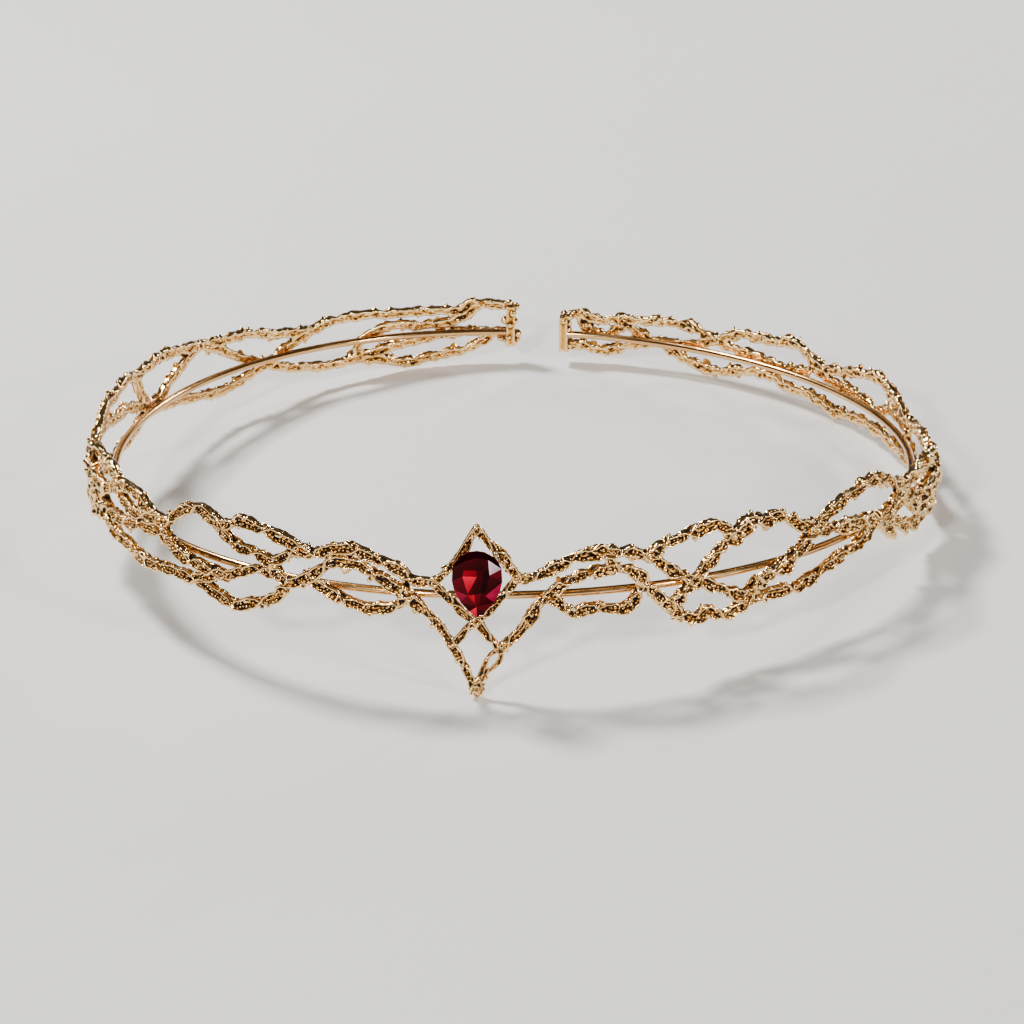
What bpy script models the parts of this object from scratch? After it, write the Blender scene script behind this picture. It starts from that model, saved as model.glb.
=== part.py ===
"""An open-backed twig circlet: a drawn wire hoop inside two cast, pierced twig
lattices, with a kite-shaped centre frame, a pear-cut red stone in its collet,
and an upright end bar at each side of the gap at the back.

Everything is first modelled square to the hoop: the hoop lies in the XY plane,
its front faces -Y and +Z is up. An empty then tips the whole circlet until it
rests on the tip of its drop and on two low twigs at the back.
"""

import math
from collections import namedtuple

import bmesh
import bpy
from mathutils import Matrix, Vector

# The hoop
HOOP_RADIUS = 0.078
HOOP_WIRE = 0.0015
OUT_OF_ROUND = 0.0012
BEND_PHASE = math.radians(-9.5)
BACK_GAP = 0.0096
SEAM_GAP = 0.0003

# The cast twigs
TWIG = 0.0019
BAND_REACH = 0.010
BUD = 0.0017

# The end bars
BAR_WIDE = 0.0020
BAR_DEEP = 0.0036
BAR_EDGE = 0.0003
RIGHT_BAR_TALL = 0.0080
LEFT_BAR_TALL = 0.0092
LEFT_BAR_LIFT = 0.0014

# The stone and its collet
STONE_WIDTH = 0.0084
STONE_HEIGHT = 0.0124
STONE_GIRDLE = 0.0003
STONE_CROWN = 0.0013
STONE_SIDE = 0.0008
STONE_MIDDLE = 0.0039
CROWN_ANGLE = math.radians(36)
PAVILION_ANGLE = math.radians(37)
MAIN_FACETS = 8
GIRDLE_CROWN_EXTRA = math.radians(7)
GIRDLE_PAVILION_EXTRA = math.radians(4)
CULET_CLEARANCE = 0.0004
COLLET_INSET = 0.0016
COLLET_WALL = 0.0008
COLLET_CLEARANCE = 0.0004
COLLET_DEPTH = 0.0030

# How finely the round shapes are drawn
HOOP_STEPS = 104
STONE_CORNERS = 32
COLLET_CORNERS = 24

# The centre frame
SIDE_MARGIN = 0.0046
KITE_MARGIN = 0.0031
FRAME_DROP = 0.0180

# Worked out from the sizes above
FRAME_SIDE = STONE_WIDTH / 2 + SIDE_MARGIN
KITE_HALF = STONE_HEIGHT / 2 + KITE_MARGIN
LATTICE_START = FRAME_SIDE + SEAM_GAP
BAR_FACE = math.pi * HOOP_RADIUS - BACK_GAP / 2
LATTICE_END = BAR_FACE - BAR_WIDE - SEAM_GAP
PAVILION_DEPTH = STONE_WIDTH / 2 * math.tan(PAVILION_ANGLE)
GIRDLE_PROUD = HOOP_WIRE / 2 + CULET_CLEARANCE + PAVILION_DEPTH

GOLD = (0.83, 0.62, 0.32, 1.0)
WIRE_GOLD = (0.90, 0.70, 0.40, 1.0)
RUBY = (0.45, 0.01, 0.04, 1.0)

# One station of a lattice twig, all in hundredths: how far it is along the band
# from the centre frame to the end bar, its height as a share of BAND_REACH, and
# its thickness and its stand-off from the hoop as shares of TWIG.
Station = namedtuple("Station", "along up girth proud", defaults=(100, 0))

# One station of the centre frame, in hundredths of FRAME_SIDE across, and of
# KITE_HALF above the stone's middle or of FRAME_DROP below the hoop.
Corner = namedtuple("Corner", "side up girth", defaults=(100,))

RIGHT_TWIGS = {
    "brow_branch": (
        (0, 39), (0.7, 41), (2.8, 64), (4.8, 80, 110), (7.0, 79, 120), (9.4, 64), (12.0, 24),
        (14.8, -8), (17.9, -42), (19.6, -48),
    ),
    "drop_branch": (
        (0, -46), (0.4, -34), (0.8, -16), (1.5, 0), (3.2, 31), (5.0, 44), (7.0, 47), (8.5, 36),
        (10.1, -8), (11.5, -38),
    ),
    "rung": ((6.3, 79), (6.7, 46)),
    "low_loop": (
        (2.0, 3), (2.8, -19), (3.7, -30), (5.2, -23), (7.4, -29), (8.5, -12), (9.0, 24),
    ),
    "crest": ((9.5, 62), (10.7, 82), (12.4, 94), (14.6, 106, 110), (15.9, 98), (17.0, 78)),
    "climber": (
        (11.5, -38), (13.4, 8), (15.7, 60), (17.0, 78, 120), (18.3, 102, 135), (19.8, 94, 115),
        (20.9, 98), (23.1, 69), (24.9, 50, 110),
    ),
    "keel": (
        (11.1, -32), (13.2, -66, 115), (14.4, -58), (16.1, -70, 110), (18.3, -53), (20.5, -48),
        (22.7, -52, 110), (24.9, -40), (27.5, -23), (30.1, -13), (32.3, 6), (33.6, 18),
    ),
    "great_branch": (
        (18.1, -42), (19.2, -19, 120), (21.4, -2, 130), (23.6, 30, 120), (25.7, 67, 110),
        (27.9, 86), (30.1, 96), (31.9, 103, 120), (33.6, 92), (35.8, 68), (37.8, 52, 110),
    ),
    "eye": (
        (24.9, 46), (27.1, 38), (29.5, 33, 140), (31.4, 26, 110), (33.2, 15), (35.4, 26), (37.5, 48),
    ),
    "fan": ((33.0, 10), (35.4, 8), (38.0, 26)),
    "spur": ((33.0, 12), (34.3, -10), (35.8, -32)),
    "upper_rail": (
        (37.0, 54), (40.2, 46, 110), (42.8, 54, 120, 25), (45.4, 42, 125, 60), (48.5, 34, 115, 50),
        (51.1, 42, 110, 10), (53.7, 36), (56.3, 28), (58.5, 42), (60.7, 53, 115), (63.3, 66, 110),
        (66.0, 56), (68.6, 45), (70.8, 34), (72.9, 33), (74.7, 53), (76.5, 62, 115), (78.2, 52),
        (80.4, 52), (82.6, 49), (85.2, 25), (87.8, 4), (90.9, -2), (93.0, 8), (95.0, 38),
    ),
    "middle_rail": (
        (37.2, 38), (39.3, 18, 115), (41.9, 4, 125, 50), (44.5, 14, 130, 105), (47.2, -6, 120, 75),
        (49.8, -20, 110, 10), (52.4, -38), (54.6, -32), (56.3, -8), (57.9, 20), (59.0, 44),
    ),
    "side_cross": (
        (38.0, 26), (40.6, -15, 115, 40), (43.2, -22, 125, 95), (45.8, 8, 125, 125),
        (48.5, 22, 115, 80), (51.5, 41),
    ),
    "heart_rail": (
        (57.6, 12), (59.4, 18), (61.1, 16), (62.5, 2), (63.8, -8), (66.0, 0), (68.6, 8), (70.8, 9),
        (72.9, 21), (74.7, 8), (77.3, -1), (80.4, 8), (83.4, 14), (85.6, 28), (87.8, 42, 110),
        (90.4, 45), (93.0, 40), (95.2, 40), (97.0, 31), (98.7, 42), (99.9, 42),
    ),
    "lower_rail": (
        (35.2, 4), (37.5, -28), (39.7, -50), (41.9, -56, 115, 20), (44.5, -38, 125, 80),
        (47.2, -46, 120, 40), (50.2, -60), (53.7, -56), (57.2, -52), (60.3, -49), (62.9, -46),
        (66.0, -44), (68.6, -50), (70.8, -54, 110), (73.8, -39), (76.5, -40), (79.1, -26),
        (81.7, -29), (84.7, -44), (86.9, -42, 110), (89.1, -26), (91.3, -4),
    ),
    "end_twig": ((90.7, -2), (93.5, -14), (95.2, -28), (97.0, -38), (98.7, -30), (99.9, -30)),
    "end_eye": ((94.7, 32), (95.9, 6), (97.4, 0), (98.6, 14), (99.2, 36)),
}

LEFT_TWIGS = {
    "brow_branch": (
        (0, 30), (0.7, 33), (1.8, 53), (3.5, 66), (5.2, 81, 110), (7.0, 76), (8.7, 61), (10.9, 81, 110),
        (13.1, 91), (14.8, 97, 110), (16.7, 80), (18.8, 96, 110), (20.9, 83), (23.1, 48),
        (24.4, 42), (26.2, 52, 110), (27.9, 66, 110), (30.1, 62), (31.9, 62, 110), (34.0, 70, 115),
        (36.2, 62),
    ),
    "upper_rail": (
        (35.8, 63), (38.9, 65, 115, 40), (41.5, 54, 125, 80), (44.1, 72, 115, 40),
        (46.7, 94, 110, 10), (49.3, 89), (51.5, 90), (53.7, 96), (56.3, 84), (59.4, 87),
        (61.6, 90, 110), (65.1, 81), (68.1, 73), (71.2, 65), (74.3, 61), (77.7, 44), (81.3, 36),
        (83.4, 48), (86.5, 51), (89.6, 47), (93.0, 47), (95.7, 46), (97.2, 62), (98.9, 56),
        (99.9, 56),
    ),
    "drop_branch": (
        (0, -19), (0.6, -6), (1.3, 10, 145), (2.2, 20, 110), (3.7, 40), (5.2, 54), (7.0, 50),
        (8.7, 18), (10.7, -6), (11.8, -36), (13.9, -56), (15.7, -69, 110), (17.4, -58),
        (19.6, -47), (22.2, -46), (24.9, -54, 110), (27.5, -58, 110), (30.5, -52),
        (33.2, -56, 110, 15),
    ),
    "lower_rail": (
        (32.7, -55), (35.8, -38, 115, 50), (38.4, -46, 125, 80), (41.0, -26, 125, 110),
        (43.7, -20, 115, 70), (46.3, -30, 110, 20), (48.9, -32), (52.0, -32), (55.0, -28),
        (58.1, -11), (61.6, -18), (65.1, -27), (68.1, -39), (71.2, -44), (73.8, -33), (76.0, -19),
        (78.6, -36), (82.1, -49), (84.7, -49), (87.4, -36), (90.4, -24), (93.0, -13), (95.7, -5),
        (98.3, -5), (99.9, -5),
    ),
    "low_loop": ((1.2, 4), (1.9, -19), (3.9, -27), (5.6, -20), (7.4, -3), (8.9, 14)),
    "eye": ((8.9, 69), (10.4, 54), (11.8, 31), (11.5, 12), (10.6, -4)),
    "inner_branch": ((11.8, 30), (13.7, 42), (15.7, 51), (17.6, 86)),
    "thin_twig": ((11.5, 12), (13.9, 8, 90), (16.1, -14, 90), (18.8, -34, 90), (20.1, -46)),
    "nugget_twig": ((16.3, -18), (18.8, -14, 110), (21.4, -7, 115), (23.1, 14), (24.4, 40)),
    "middle_rail": (
        (22.7, 8), (25.7, 13), (28.4, 2), (30.5, -12), (32.7, -18), (35.4, -22, 115, 20),
        (38.0, -8, 125, 60), (40.6, 16, 125, 115), (43.2, 42, 115, 90), (45.4, 62, 110, 30),
        (47.6, 54), (50.7, 40), (54.1, 33), (56.3, 20), (58.5, 4, 110), (61.1, 7), (62.9, 26),
        (65.1, 48), (67.3, 71),
    ),
    "shoulder": ((24.4, 39), (27.1, 30), (29.2, 24), (31.4, 38, 115), (33.4, 64)),
    "side_cross": ((32.7, 52), (35.4, 18, 110, 20), (38.0, 26, 120, 90), (40.2, 50, 115, 85)),
    "upright": ((56.1, 84), (57.0, 50), (57.9, 24), (58.5, 4)),
    "slant": (
        (68.1, 71), (70.3, 50), (72.5, 22), (74.3, 2), (76.5, -14), (77.9, 2), (79.5, 18), (81.4, 35),
    ),
    "rising_twig": (
        (86.1, -42), (86.1, -15), (87.6, 9), (89.6, 20), (92.2, 15), (94.8, 19), (96.5, 34),
        (97.6, 58),
    ),
    "belly": (
        (85.6, -46), (88.7, -56), (90.6, -67, 110), (93.0, -58), (96.1, -46), (98.0, -26), (99.0, -8),
    ),
}

# Short spurs that the cast twigs end in: centre of each bud, in the same shares.
RIGHT_BUDS = (
    (3.8, -37), (6.6, 88), (13.2, -74), (18.2, 112), (19.8, 80), (29.6, 82), (34.6, 73),
    (35.9, -38), (16.2, -77), (43.0, 62, 100, 120), (45.4, 10, 100, 190), (47.5, 44, 100, 130),
    (44.8, -46, 100, 150), (63.3, 74), (76.3, 70), (70.8, -61), (87.0, -49),
)
LEFT_BUDS = (
    (0.5, -27), (5.9, 41), (7.4, -14), (16.6, 58), (15.8, -76), (25.0, -62), (34.0, 79),
    (38.6, 12, 100, 110), (41.2, 62, 100, 130), (40.8, 2, 100, 150), (38.6, -56, 100, 140),
    (41.4, -38, 100, 160), (54.0, 103), (61.6, 97), (65.1, -35), (90.6, -74), (97.2, 69),
)

KITE_ARMS = (
    ((7, 100), (-17, 60), (-32, 38, 95), (-49, 18), (-64, 2), (-80, -10)),
    ((7, 100), (32, 70), (56, 51), (73, 32, 110), (86, 0)),
    ((86, 0), (64, -27), (45, -48), (27, -70), (5, -87)),
    ((-80, -10), (-55, -35), (-34, -57), (-14, -76), (5, -87)),
    ((-80, -10), (-100, -9)),
    ((86, 0), (100, 0)),
)
KITE_BUD = (-56, 20)
DROP_ARMS = (
    ((2, -24), (-20, -36), (-42, -48)),
    ((9, -24), (25, -37), (48, -51)),
    ((-100, -12), (-86, -19), (-61, -33), (-43, -49, 110), (-27, -63), (-11, -80), (7, -100)),
    ((100, -27.5), (98, -29), (73, -43), (50, -53), (36, -58), (19, -69), (11, -83), (7, -96)),
    ((50, -53), (51, -62), (40, -73), (20, -81), (9, -88), (7, -100, 115)),
)


def clear_scene():
    for thing in list(bpy.data.objects):
        bpy.data.objects.remove(thing)


def new_material(name, colour, roughness, metallic):
    material = bpy.data.materials.new(name)
    material.use_nodes = True
    shader = material.node_tree.nodes["Principled BSDF"]
    shader.inputs["Base Color"].default_value = colour
    shader.inputs["Roughness"].default_value = roughness
    shader.inputs["Metallic"].default_value = metallic
    return material


def new_object(name, mesh, material, resting):
    thing = bpy.data.objects.new(name, mesh)
    bpy.context.scene.collection.objects.link(thing)
    mesh.materials.clear()
    mesh.materials.append(material)
    thing.parent = resting
    return thing


def on_band(distance, height, stand_off):
    """A place on the bent hoop's plan, `distance` round it from the front centre."""
    angle = distance / HOOP_RADIUS - math.pi / 2
    radius = HOOP_RADIUS + OUT_OF_ROUND * math.cos(3 * (angle - BEND_PHASE)) + stand_off
    return Vector((radius * math.cos(angle), radius * math.sin(angle), height))


def lattice_distance(along):
    return LATTICE_START + along / 100 * (LATTICE_END - LATTICE_START)


def twig_stand_off(girth):
    """How far out a twig's centre lies, so that its inner side just clears the hoop."""
    return HOOP_WIRE / 2 + SEAM_GAP + TWIG / 2 * girth / 100


def twig_mesh(name, places, girths):
    """A closed round twig through the places, thicker or thinner at each by its girth."""
    curve = bpy.data.curves.new(name, "CURVE")
    curve.dimensions = "3D"
    curve.bevel_depth = TWIG / 2
    curve.bevel_resolution = 1
    curve.resolution_u = 2
    curve.use_fill_caps = True
    spline = curve.splines.new("BEZIER")
    spline.bezier_points.add(len(places) - 1)
    for point, place, girth in zip(spline.bezier_points, places, girths):
        point.co = place
        point.radius = girth / 100
        point.handle_left_type = "AUTO"
        point.handle_right_type = "AUTO"
    holder = bpy.data.objects.new(name, curve)
    bpy.context.scene.collection.objects.link(holder)
    bpy.context.view_layer.update()
    mesh = bpy.data.meshes.new_from_object(holder.evaluated_get(bpy.context.evaluated_depsgraph_get()))
    bpy.data.objects.remove(holder)
    close_mesh(mesh)
    return mesh


def close_mesh(mesh):
    """Joins the caps of a swept shape to its sides and turns every face outwards."""
    shape = bmesh.new()
    shape.from_mesh(mesh)
    bmesh.ops.remove_doubles(shape, verts=shape.verts, dist=1e-6)
    bmesh.ops.recalc_face_normals(shape, faces=shape.faces)
    shape.to_mesh(mesh)
    shape.free()
    mesh.shade_smooth()


def bud_mesh(name, place):
    mesh = bpy.data.meshes.new(name)
    shape = bmesh.new()
    bmesh.ops.create_icosphere(
        shape, subdivisions=1, radius=BUD / 2, matrix=Matrix.Translation(place)
    )
    shape.to_mesh(mesh)
    shape.free()
    mesh.shade_smooth()
    return mesh


def cast_together(name, meshes, material, resting):
    """One casting: the first mesh, with all the others joined to it by a union."""
    casting = new_object(name, meshes[0], material, resting)
    helpers = bpy.data.collections.new(name + "_helpers")
    bpy.context.scene.collection.children.link(helpers)
    for mesh in meshes[1:]:
        helper = bpy.data.objects.new(mesh.name, mesh)
        helper.parent = resting
        helper.hide_render = True
        helper.display_type = "WIRE"
        helpers.objects.link(helper)
    union = casting.modifiers.new("Cast together", "BOOLEAN")
    union.operation = "UNION"
    union.operand_type = "COLLECTION"
    union.collection = helpers
    union.solver = "EXACT"
    return casting


def make_hoop(material, resting):
    curve = bpy.data.curves.new("band_wire", "CURVE")
    curve.dimensions = "3D"
    curve.bevel_depth = HOOP_WIRE / 2
    curve.bevel_resolution = 2
    curve.use_fill_caps = True
    spline = curve.splines.new("POLY")
    spline.points.add(HOOP_STEPS)
    for index, point in enumerate(spline.points):
        place = on_band(LATTICE_END * (2 * index / HOOP_STEPS - 1), 0, 0)
        point.co = (*place, 1)
    hoop = bpy.data.objects.new("band_wire", curve)
    bpy.context.scene.collection.objects.link(hoop)
    curve.materials.append(material)
    hoop.parent = resting


def make_lattice(name, side, twigs, buds, material, resting):
    """One cast side of the band; side is 1 on the viewer's right and -1 on the left."""

    def place_of(station):
        stand_off = twig_stand_off(station.girth) + TWIG * station.proud / 100
        distance = side * lattice_distance(station.along)
        return on_band(distance, BAND_REACH * station.up / 100, stand_off)

    meshes = []
    for twig, rows in twigs.items():
        stations = [Station(*row) for row in rows]
        places = [place_of(station) for station in stations]
        meshes.append(twig_mesh(name + "_" + twig, places, [s.girth for s in stations]))
    for number, row in enumerate(buds):
        meshes.append(bud_mesh(f"{name}_bud_{number + 1}", place_of(Station(*row))))
    cast_together(name, meshes, material, resting)


def make_centre_frame(material, resting):
    def kite_height(up):
        return STONE_MIDDLE + KITE_HALF * up / 100

    def drop_height(up):
        return FRAME_DROP * up / 100

    def place_of(corner, height_of):
        stand_off = twig_stand_off(corner.girth)
        return on_band(FRAME_SIDE * corner.side / 100, height_of(corner.up), stand_off)

    meshes = []
    for table, height_of in ((KITE_ARMS, kite_height), (DROP_ARMS, drop_height)):
        for rows in table:
            corners = [Corner(*row) for row in rows]
            places = [place_of(corner, height_of) for corner in corners]
            girths = [corner.girth for corner in corners]
            meshes.append(twig_mesh(f"frame_arm_{len(meshes) + 1}", places, girths))
    meshes.append(bud_mesh("frame_bud", place_of(Corner(*KITE_BUD), kite_height)))
    cast_together("centre_frame", meshes, material, resting)


def pear_outline(inset, count):
    """Points round the stone, anticlockwise from its right side, `inset` inside its edge.

    The round end is a half circle, and an arc on each side runs down to the tip.
    """
    half = STONE_WIDTH / 2
    down = STONE_HEIGHT - half
    sweep = (half * half + down * down) / (2 * half)
    lift = STONE_HEIGHT / 2 - half
    radius = half - inset
    side = sweep - inset
    tip_turn = math.acos((sweep - half) / side)
    round_part = count // 2
    flank = count // 4
    points = []
    for step in range(round_part):
        turn = math.pi * step / round_part
        points.append((radius * math.cos(turn), lift + radius * math.sin(turn)))
    for step in range(flank):
        turn = tip_turn * step / flank
        points.append((sweep - half - side * math.cos(turn), lift - side * math.sin(turn)))
    for step in range(flank):
        turn = tip_turn * (1 - step / flank)
        points.append((side * math.cos(turn) - sweep + half, lift - side * math.sin(turn)))
    return points


def seat_matrix():
    """Puts a shape drawn flat, with +Z towards the viewer, upright at the stone's place."""
    angle = STONE_SIDE / HOOP_RADIUS - math.pi / 2
    outward = Vector((math.cos(angle), math.sin(angle), 0))
    up = Vector((0, 0, 1))
    across = up.cross(outward)
    turn = Matrix((across, up, outward)).transposed().to_4x4()
    return Matrix.Translation(on_band(STONE_SIDE, STONE_MIDDLE, GIRDLE_PROUD)) @ turn


def grind(shape, point, normal):
    """Takes off everything beyond one plane and closes the flat that it leaves."""
    everything = shape.verts[:] + shape.edges[:] + shape.faces[:]
    bmesh.ops.bisect_plane(
        shape, geom=everything, dist=1e-7, plane_co=point, plane_no=normal, clear_outer=True
    )
    rim = [edge for edge in shape.edges if edge.is_boundary]
    if rim:
        bmesh.ops.contextual_create(shape, geom=rim)


def make_stone(material, resting):
    """A pear cut ground from an upright blank: mains, girdle facets and a table."""
    outline = pear_outline(0, STONE_CORNERS)
    shape = bmesh.new()
    blank = [shape.verts.new((x, y, -STONE_HEIGHT)) for x, y in outline]
    bottom = shape.faces.new(blank)
    raised = bmesh.ops.extrude_face_region(shape, geom=[bottom])["geom"]
    top = [item for item in raised if isinstance(item, bmesh.types.BMVert)]
    bmesh.ops.translate(shape, verts=top, vec=(0, 0, 2 * STONE_HEIGHT))
    bmesh.ops.recalc_face_normals(shape, faces=shape.faces)
    table = STONE_GIRDLE + STONE_CROWN
    grind(shape, (0, 0, table), (0, 0, 1))
    for count, crown, pavilion in (
        (MAIN_FACETS, CROWN_ANGLE, PAVILION_ANGLE),
        (
            2 * MAIN_FACETS,
            CROWN_ANGLE + GIRDLE_CROWN_EXTRA,
            PAVILION_ANGLE + GIRDLE_PAVILION_EXTRA,
        ),
    ):
        for index in range(0, STONE_CORNERS, STONE_CORNERS // count):
            here = Vector(outline[index]).to_3d()
            ahead = Vector(outline[(index + 1) % STONE_CORNERS]).to_3d()
            behind = Vector(outline[index - 1]).to_3d()
            run = (ahead - behind).normalized()
            away = Vector((run.y, -run.x, 0))
            upper = away * math.sin(crown) + Vector((0, 0, math.cos(crown)))
            lower = away * math.sin(pavilion) - Vector((0, 0, math.cos(pavilion)))
            grind(shape, here + Vector((0, 0, STONE_GIRDLE)), upper)
            grind(shape, here, lower)
    bmesh.ops.recalc_face_normals(shape, faces=shape.faces)
    bmesh.ops.transform(shape, matrix=seat_matrix(), verts=shape.verts)
    mesh = bpy.data.meshes.new("red_stone")
    shape.to_mesh(mesh)
    shape.free()
    new_object("red_stone", mesh, material, resting)


def make_setting(material, resting):
    """A pear-shaped collet whose front slopes in step with the stone's back."""

    def depth_behind(inset):
        return inset * math.tan(PAVILION_ANGLE) + COLLET_CLEARANCE / math.cos(PAVILION_ANGLE)

    inner = COLLET_INSET + COLLET_WALL
    section = (
        (COLLET_INSET, -depth_behind(COLLET_INSET)),
        (COLLET_INSET, -COLLET_DEPTH),
        (inner, -COLLET_DEPTH),
        (inner, -depth_behind(inner)),
    )
    shape = bmesh.new()
    loops = []
    for inset, height in section:
        ring = [shape.verts.new((x, y, height)) for x, y in pear_outline(inset, COLLET_CORNERS)]
        loops.append([shape.edges.new((a, b)) for a, b in zip(ring, ring[1:] + ring[:1])])
    for first, second in zip(loops, loops[1:] + loops[:1]):
        bmesh.ops.bridge_loops(shape, edges=first + second)
    bmesh.ops.recalc_face_normals(shape, faces=shape.faces)
    bmesh.ops.transform(shape, matrix=seat_matrix(), verts=shape.verts)
    mesh = bpy.data.meshes.new("stone_setting")
    shape.to_mesh(mesh)
    shape.free()
    new_object("stone_setting", mesh, material, resting)


def make_end_bar(name, side, tall, lift, material, resting):
    """An upright plate across the band's end, its flat outer face towards the gap."""
    distance = side * (BAR_FACE - BAR_WIDE / 2)
    inner_side = -HOOP_WIRE / 2
    middle = on_band(distance, lift, inner_side + BAR_DEEP / 2)
    angle = distance / HOOP_RADIUS - math.pi / 2
    turn = Matrix.Rotation(angle, 4, "Z")
    size = Matrix.Diagonal((BAR_DEEP, BAR_WIDE, tall, 1))
    shape = bmesh.new()
    bmesh.ops.create_cube(shape, size=1, matrix=Matrix.Translation(middle) @ turn @ size)
    bmesh.ops.bevel(
        shape, geom=shape.edges[:], offset=BAR_EDGE, segments=1, profile=0.5, affect="EDGES", material=-1
    )
    mesh = bpy.data.meshes.new(name)
    shape.to_mesh(mesh)
    shape.free()
    knob_place = middle + Vector((0, 0, tall / 2 + BUD / 6))
    cast_together(name, [mesh, bud_mesh(name + "_knob", knob_place)], material, resting)


def solid_points(graph):
    """Every corner of every visible solid, and the middle of them all."""
    points = []
    for thing in bpy.context.scene.objects:
        if thing.hide_render or thing.type == "EMPTY":
            continue
        evaluated = thing.evaluated_get(graph)
        mesh = evaluated.to_mesh()
        points += [evaluated.matrix_world @ vertex.co for vertex in mesh.vertices]
        evaluated.to_mesh_clear()
    return points, sum(points, Vector()) / len(points)


def rest_on_surface(resting):
    """Tips the circlet onto the three low points under its middle, then centres its foot."""
    bpy.context.view_layer.update()
    points, middle = solid_points(bpy.context.evaluated_depsgraph_get())
    hull = bmesh.new()
    for point in points:
        hull.verts.new(point)
    bmesh.ops.convex_hull(hull, input=hull.verts[:])
    below = [face for face in hull.faces if face.normal.z < -0.5]
    under = [
        face for face in below
        if bmesh.geometry.intersect_face_point(face, middle + on_floor_ray(face, middle))
    ]
    down = under[0].normal
    hull.free()
    turn = down.rotation_difference(Vector((0, 0, -1))).to_matrix().to_4x4()
    turned = [turn @ point for point in points]
    low = [min(point[axis] for point in turned) for axis in range(3)]
    high = [max(point[axis] for point in turned) for axis in range(3)]
    foot = Vector(((low[0] + high[0]) / 2, (low[1] + high[1]) / 2, low[2]))
    resting.matrix_world = Matrix.Translation(-foot) @ turn


def on_floor_ray(face, middle):
    """The way from the middle, square to a hull face, to the face's own plane."""
    return face.normal * face.normal.dot(face.verts[0].co - middle)


def main():
    clear_scene()
    resting = bpy.data.objects.new("resting_pose", None)
    bpy.context.scene.collection.objects.link(resting)
    cast_gold = new_material("cast gold", GOLD, 0.35, 1.0)
    drawn_gold = new_material("drawn gold wire", WIRE_GOLD, 0.15, 1.0)
    ruby = new_material("red stone", RUBY, 0.05, 0.0)
    make_hoop(drawn_gold, resting)
    make_lattice("right_twig_lattice", 1, RIGHT_TWIGS, RIGHT_BUDS, cast_gold, resting)
    make_lattice("left_twig_lattice", -1, LEFT_TWIGS, LEFT_BUDS, cast_gold, resting)
    make_centre_frame(cast_gold, resting)
    make_setting(cast_gold, resting)
    make_stone(ruby, resting)
    make_end_bar("right_end_bar", 1, RIGHT_BAR_TALL, 0, cast_gold, resting)
    make_end_bar("left_end_bar", -1, LEFT_BAR_TALL, LEFT_BAR_LIFT, cast_gold, resting)
    rest_on_surface(resting)


main()
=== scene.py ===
import math
import random
from collections import namedtuple

import bmesh
import bpy
import numpy as np
from mathutils import Matrix, Vector


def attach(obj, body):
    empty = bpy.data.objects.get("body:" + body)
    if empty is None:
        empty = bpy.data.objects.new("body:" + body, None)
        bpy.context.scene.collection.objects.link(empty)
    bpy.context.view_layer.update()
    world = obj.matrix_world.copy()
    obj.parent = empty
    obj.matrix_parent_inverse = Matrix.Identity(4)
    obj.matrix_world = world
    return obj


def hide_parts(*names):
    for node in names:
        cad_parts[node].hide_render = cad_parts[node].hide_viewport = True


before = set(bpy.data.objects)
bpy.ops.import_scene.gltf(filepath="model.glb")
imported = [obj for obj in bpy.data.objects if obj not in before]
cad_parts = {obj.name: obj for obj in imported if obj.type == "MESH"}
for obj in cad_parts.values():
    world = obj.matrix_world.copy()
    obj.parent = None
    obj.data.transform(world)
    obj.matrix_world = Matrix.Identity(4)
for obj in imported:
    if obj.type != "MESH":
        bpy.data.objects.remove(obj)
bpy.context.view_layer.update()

# The camera
# The circlet lies tipped, on the tip of its drop and on two low twigs at the back. Its
# pieces are measured square to the wire hoop, and this turn lays them where they rest. The
# camera was placed against the hoop's ellipse, so it is given in the hoop's frame too.
RESTING = Matrix((
    (0.999328, -0.001316, 0.036628, -0.001919),
    (-0.001316, 0.997421, 0.071755, 0.000728),
    (-0.036628, -0.071755, 0.996750, 0.012595),
    (0, 0, 0, 1),
))
EYE = Vector((0.04910, -0.62381, 0.21913))
AIM = Vector((0.000886, -0.003985, -0.011542))
LENS_MM = 117.78
SENSOR_MM = 36

back = (EYE - AIM).normalized()
across = Vector((0, 0, 1)).cross(back).normalized()
upright = back.cross(across)
looking = Matrix((across, upright, back)).transposed().to_4x4()
lens = bpy.data.cameras.new("camera")
lens.lens = LENS_MM
lens.sensor_width = SENSOR_MM
lens.clip_end = 20
camera = bpy.data.objects.new("camera", lens)
camera.matrix_world = RESTING @ Matrix.Translation(EYE) @ looking
bpy.context.scene.collection.objects.link(camera)
bpy.context.scene.camera = camera

# The studio
# A plain pale tabletop under four soft boxes: the main one high behind on the left, and
# small ones on the right, in front, and behind on the right. The room is dim, so that
# polished metal has something dark to mirror. The grains reach 0.5 mm below the plain
# twigs, and the tabletop lies under them.
FLOOR_RADIUS = 4.0
FLOOR_DROP = 0.0005
LAMPS_AIM = Vector((0, 0, 0.01))


def linear(code):
    """An sRGB hex colour as linear RGBA."""
    channels = [int(code[at:at + 2], 16) / 255 for at in (1, 3, 5)]
    return (*(c / 12.92 if c <= 0.04045 else ((c + 0.055) / 1.055) ** 2.4 for c in channels), 1)


def feed(tree, node, links):
    """Links or sets each named input of a node."""
    for name, source in links.items():
        if isinstance(source, bpy.types.NodeSocket):
            tree.links.new(source, node.inputs[name])
        else:
            node.inputs[name].default_value = source


def add_node(tree, kind, links=None, **settings):
    """A new node with its settings made and its inputs fed."""
    node = tree.nodes.new(kind)
    for name, value in settings.items():
        setattr(node, name, value)
    feed(tree, node, links or {})
    return node


def noise(tree, places, scale, detail):
    """A cloudy pattern, as a value from 0 to 1."""
    links = {"Vector": places, "Scale": scale, "Detail": detail}
    return add_node(tree, "ShaderNodeTexNoise", links).outputs["Fac"]


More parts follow.
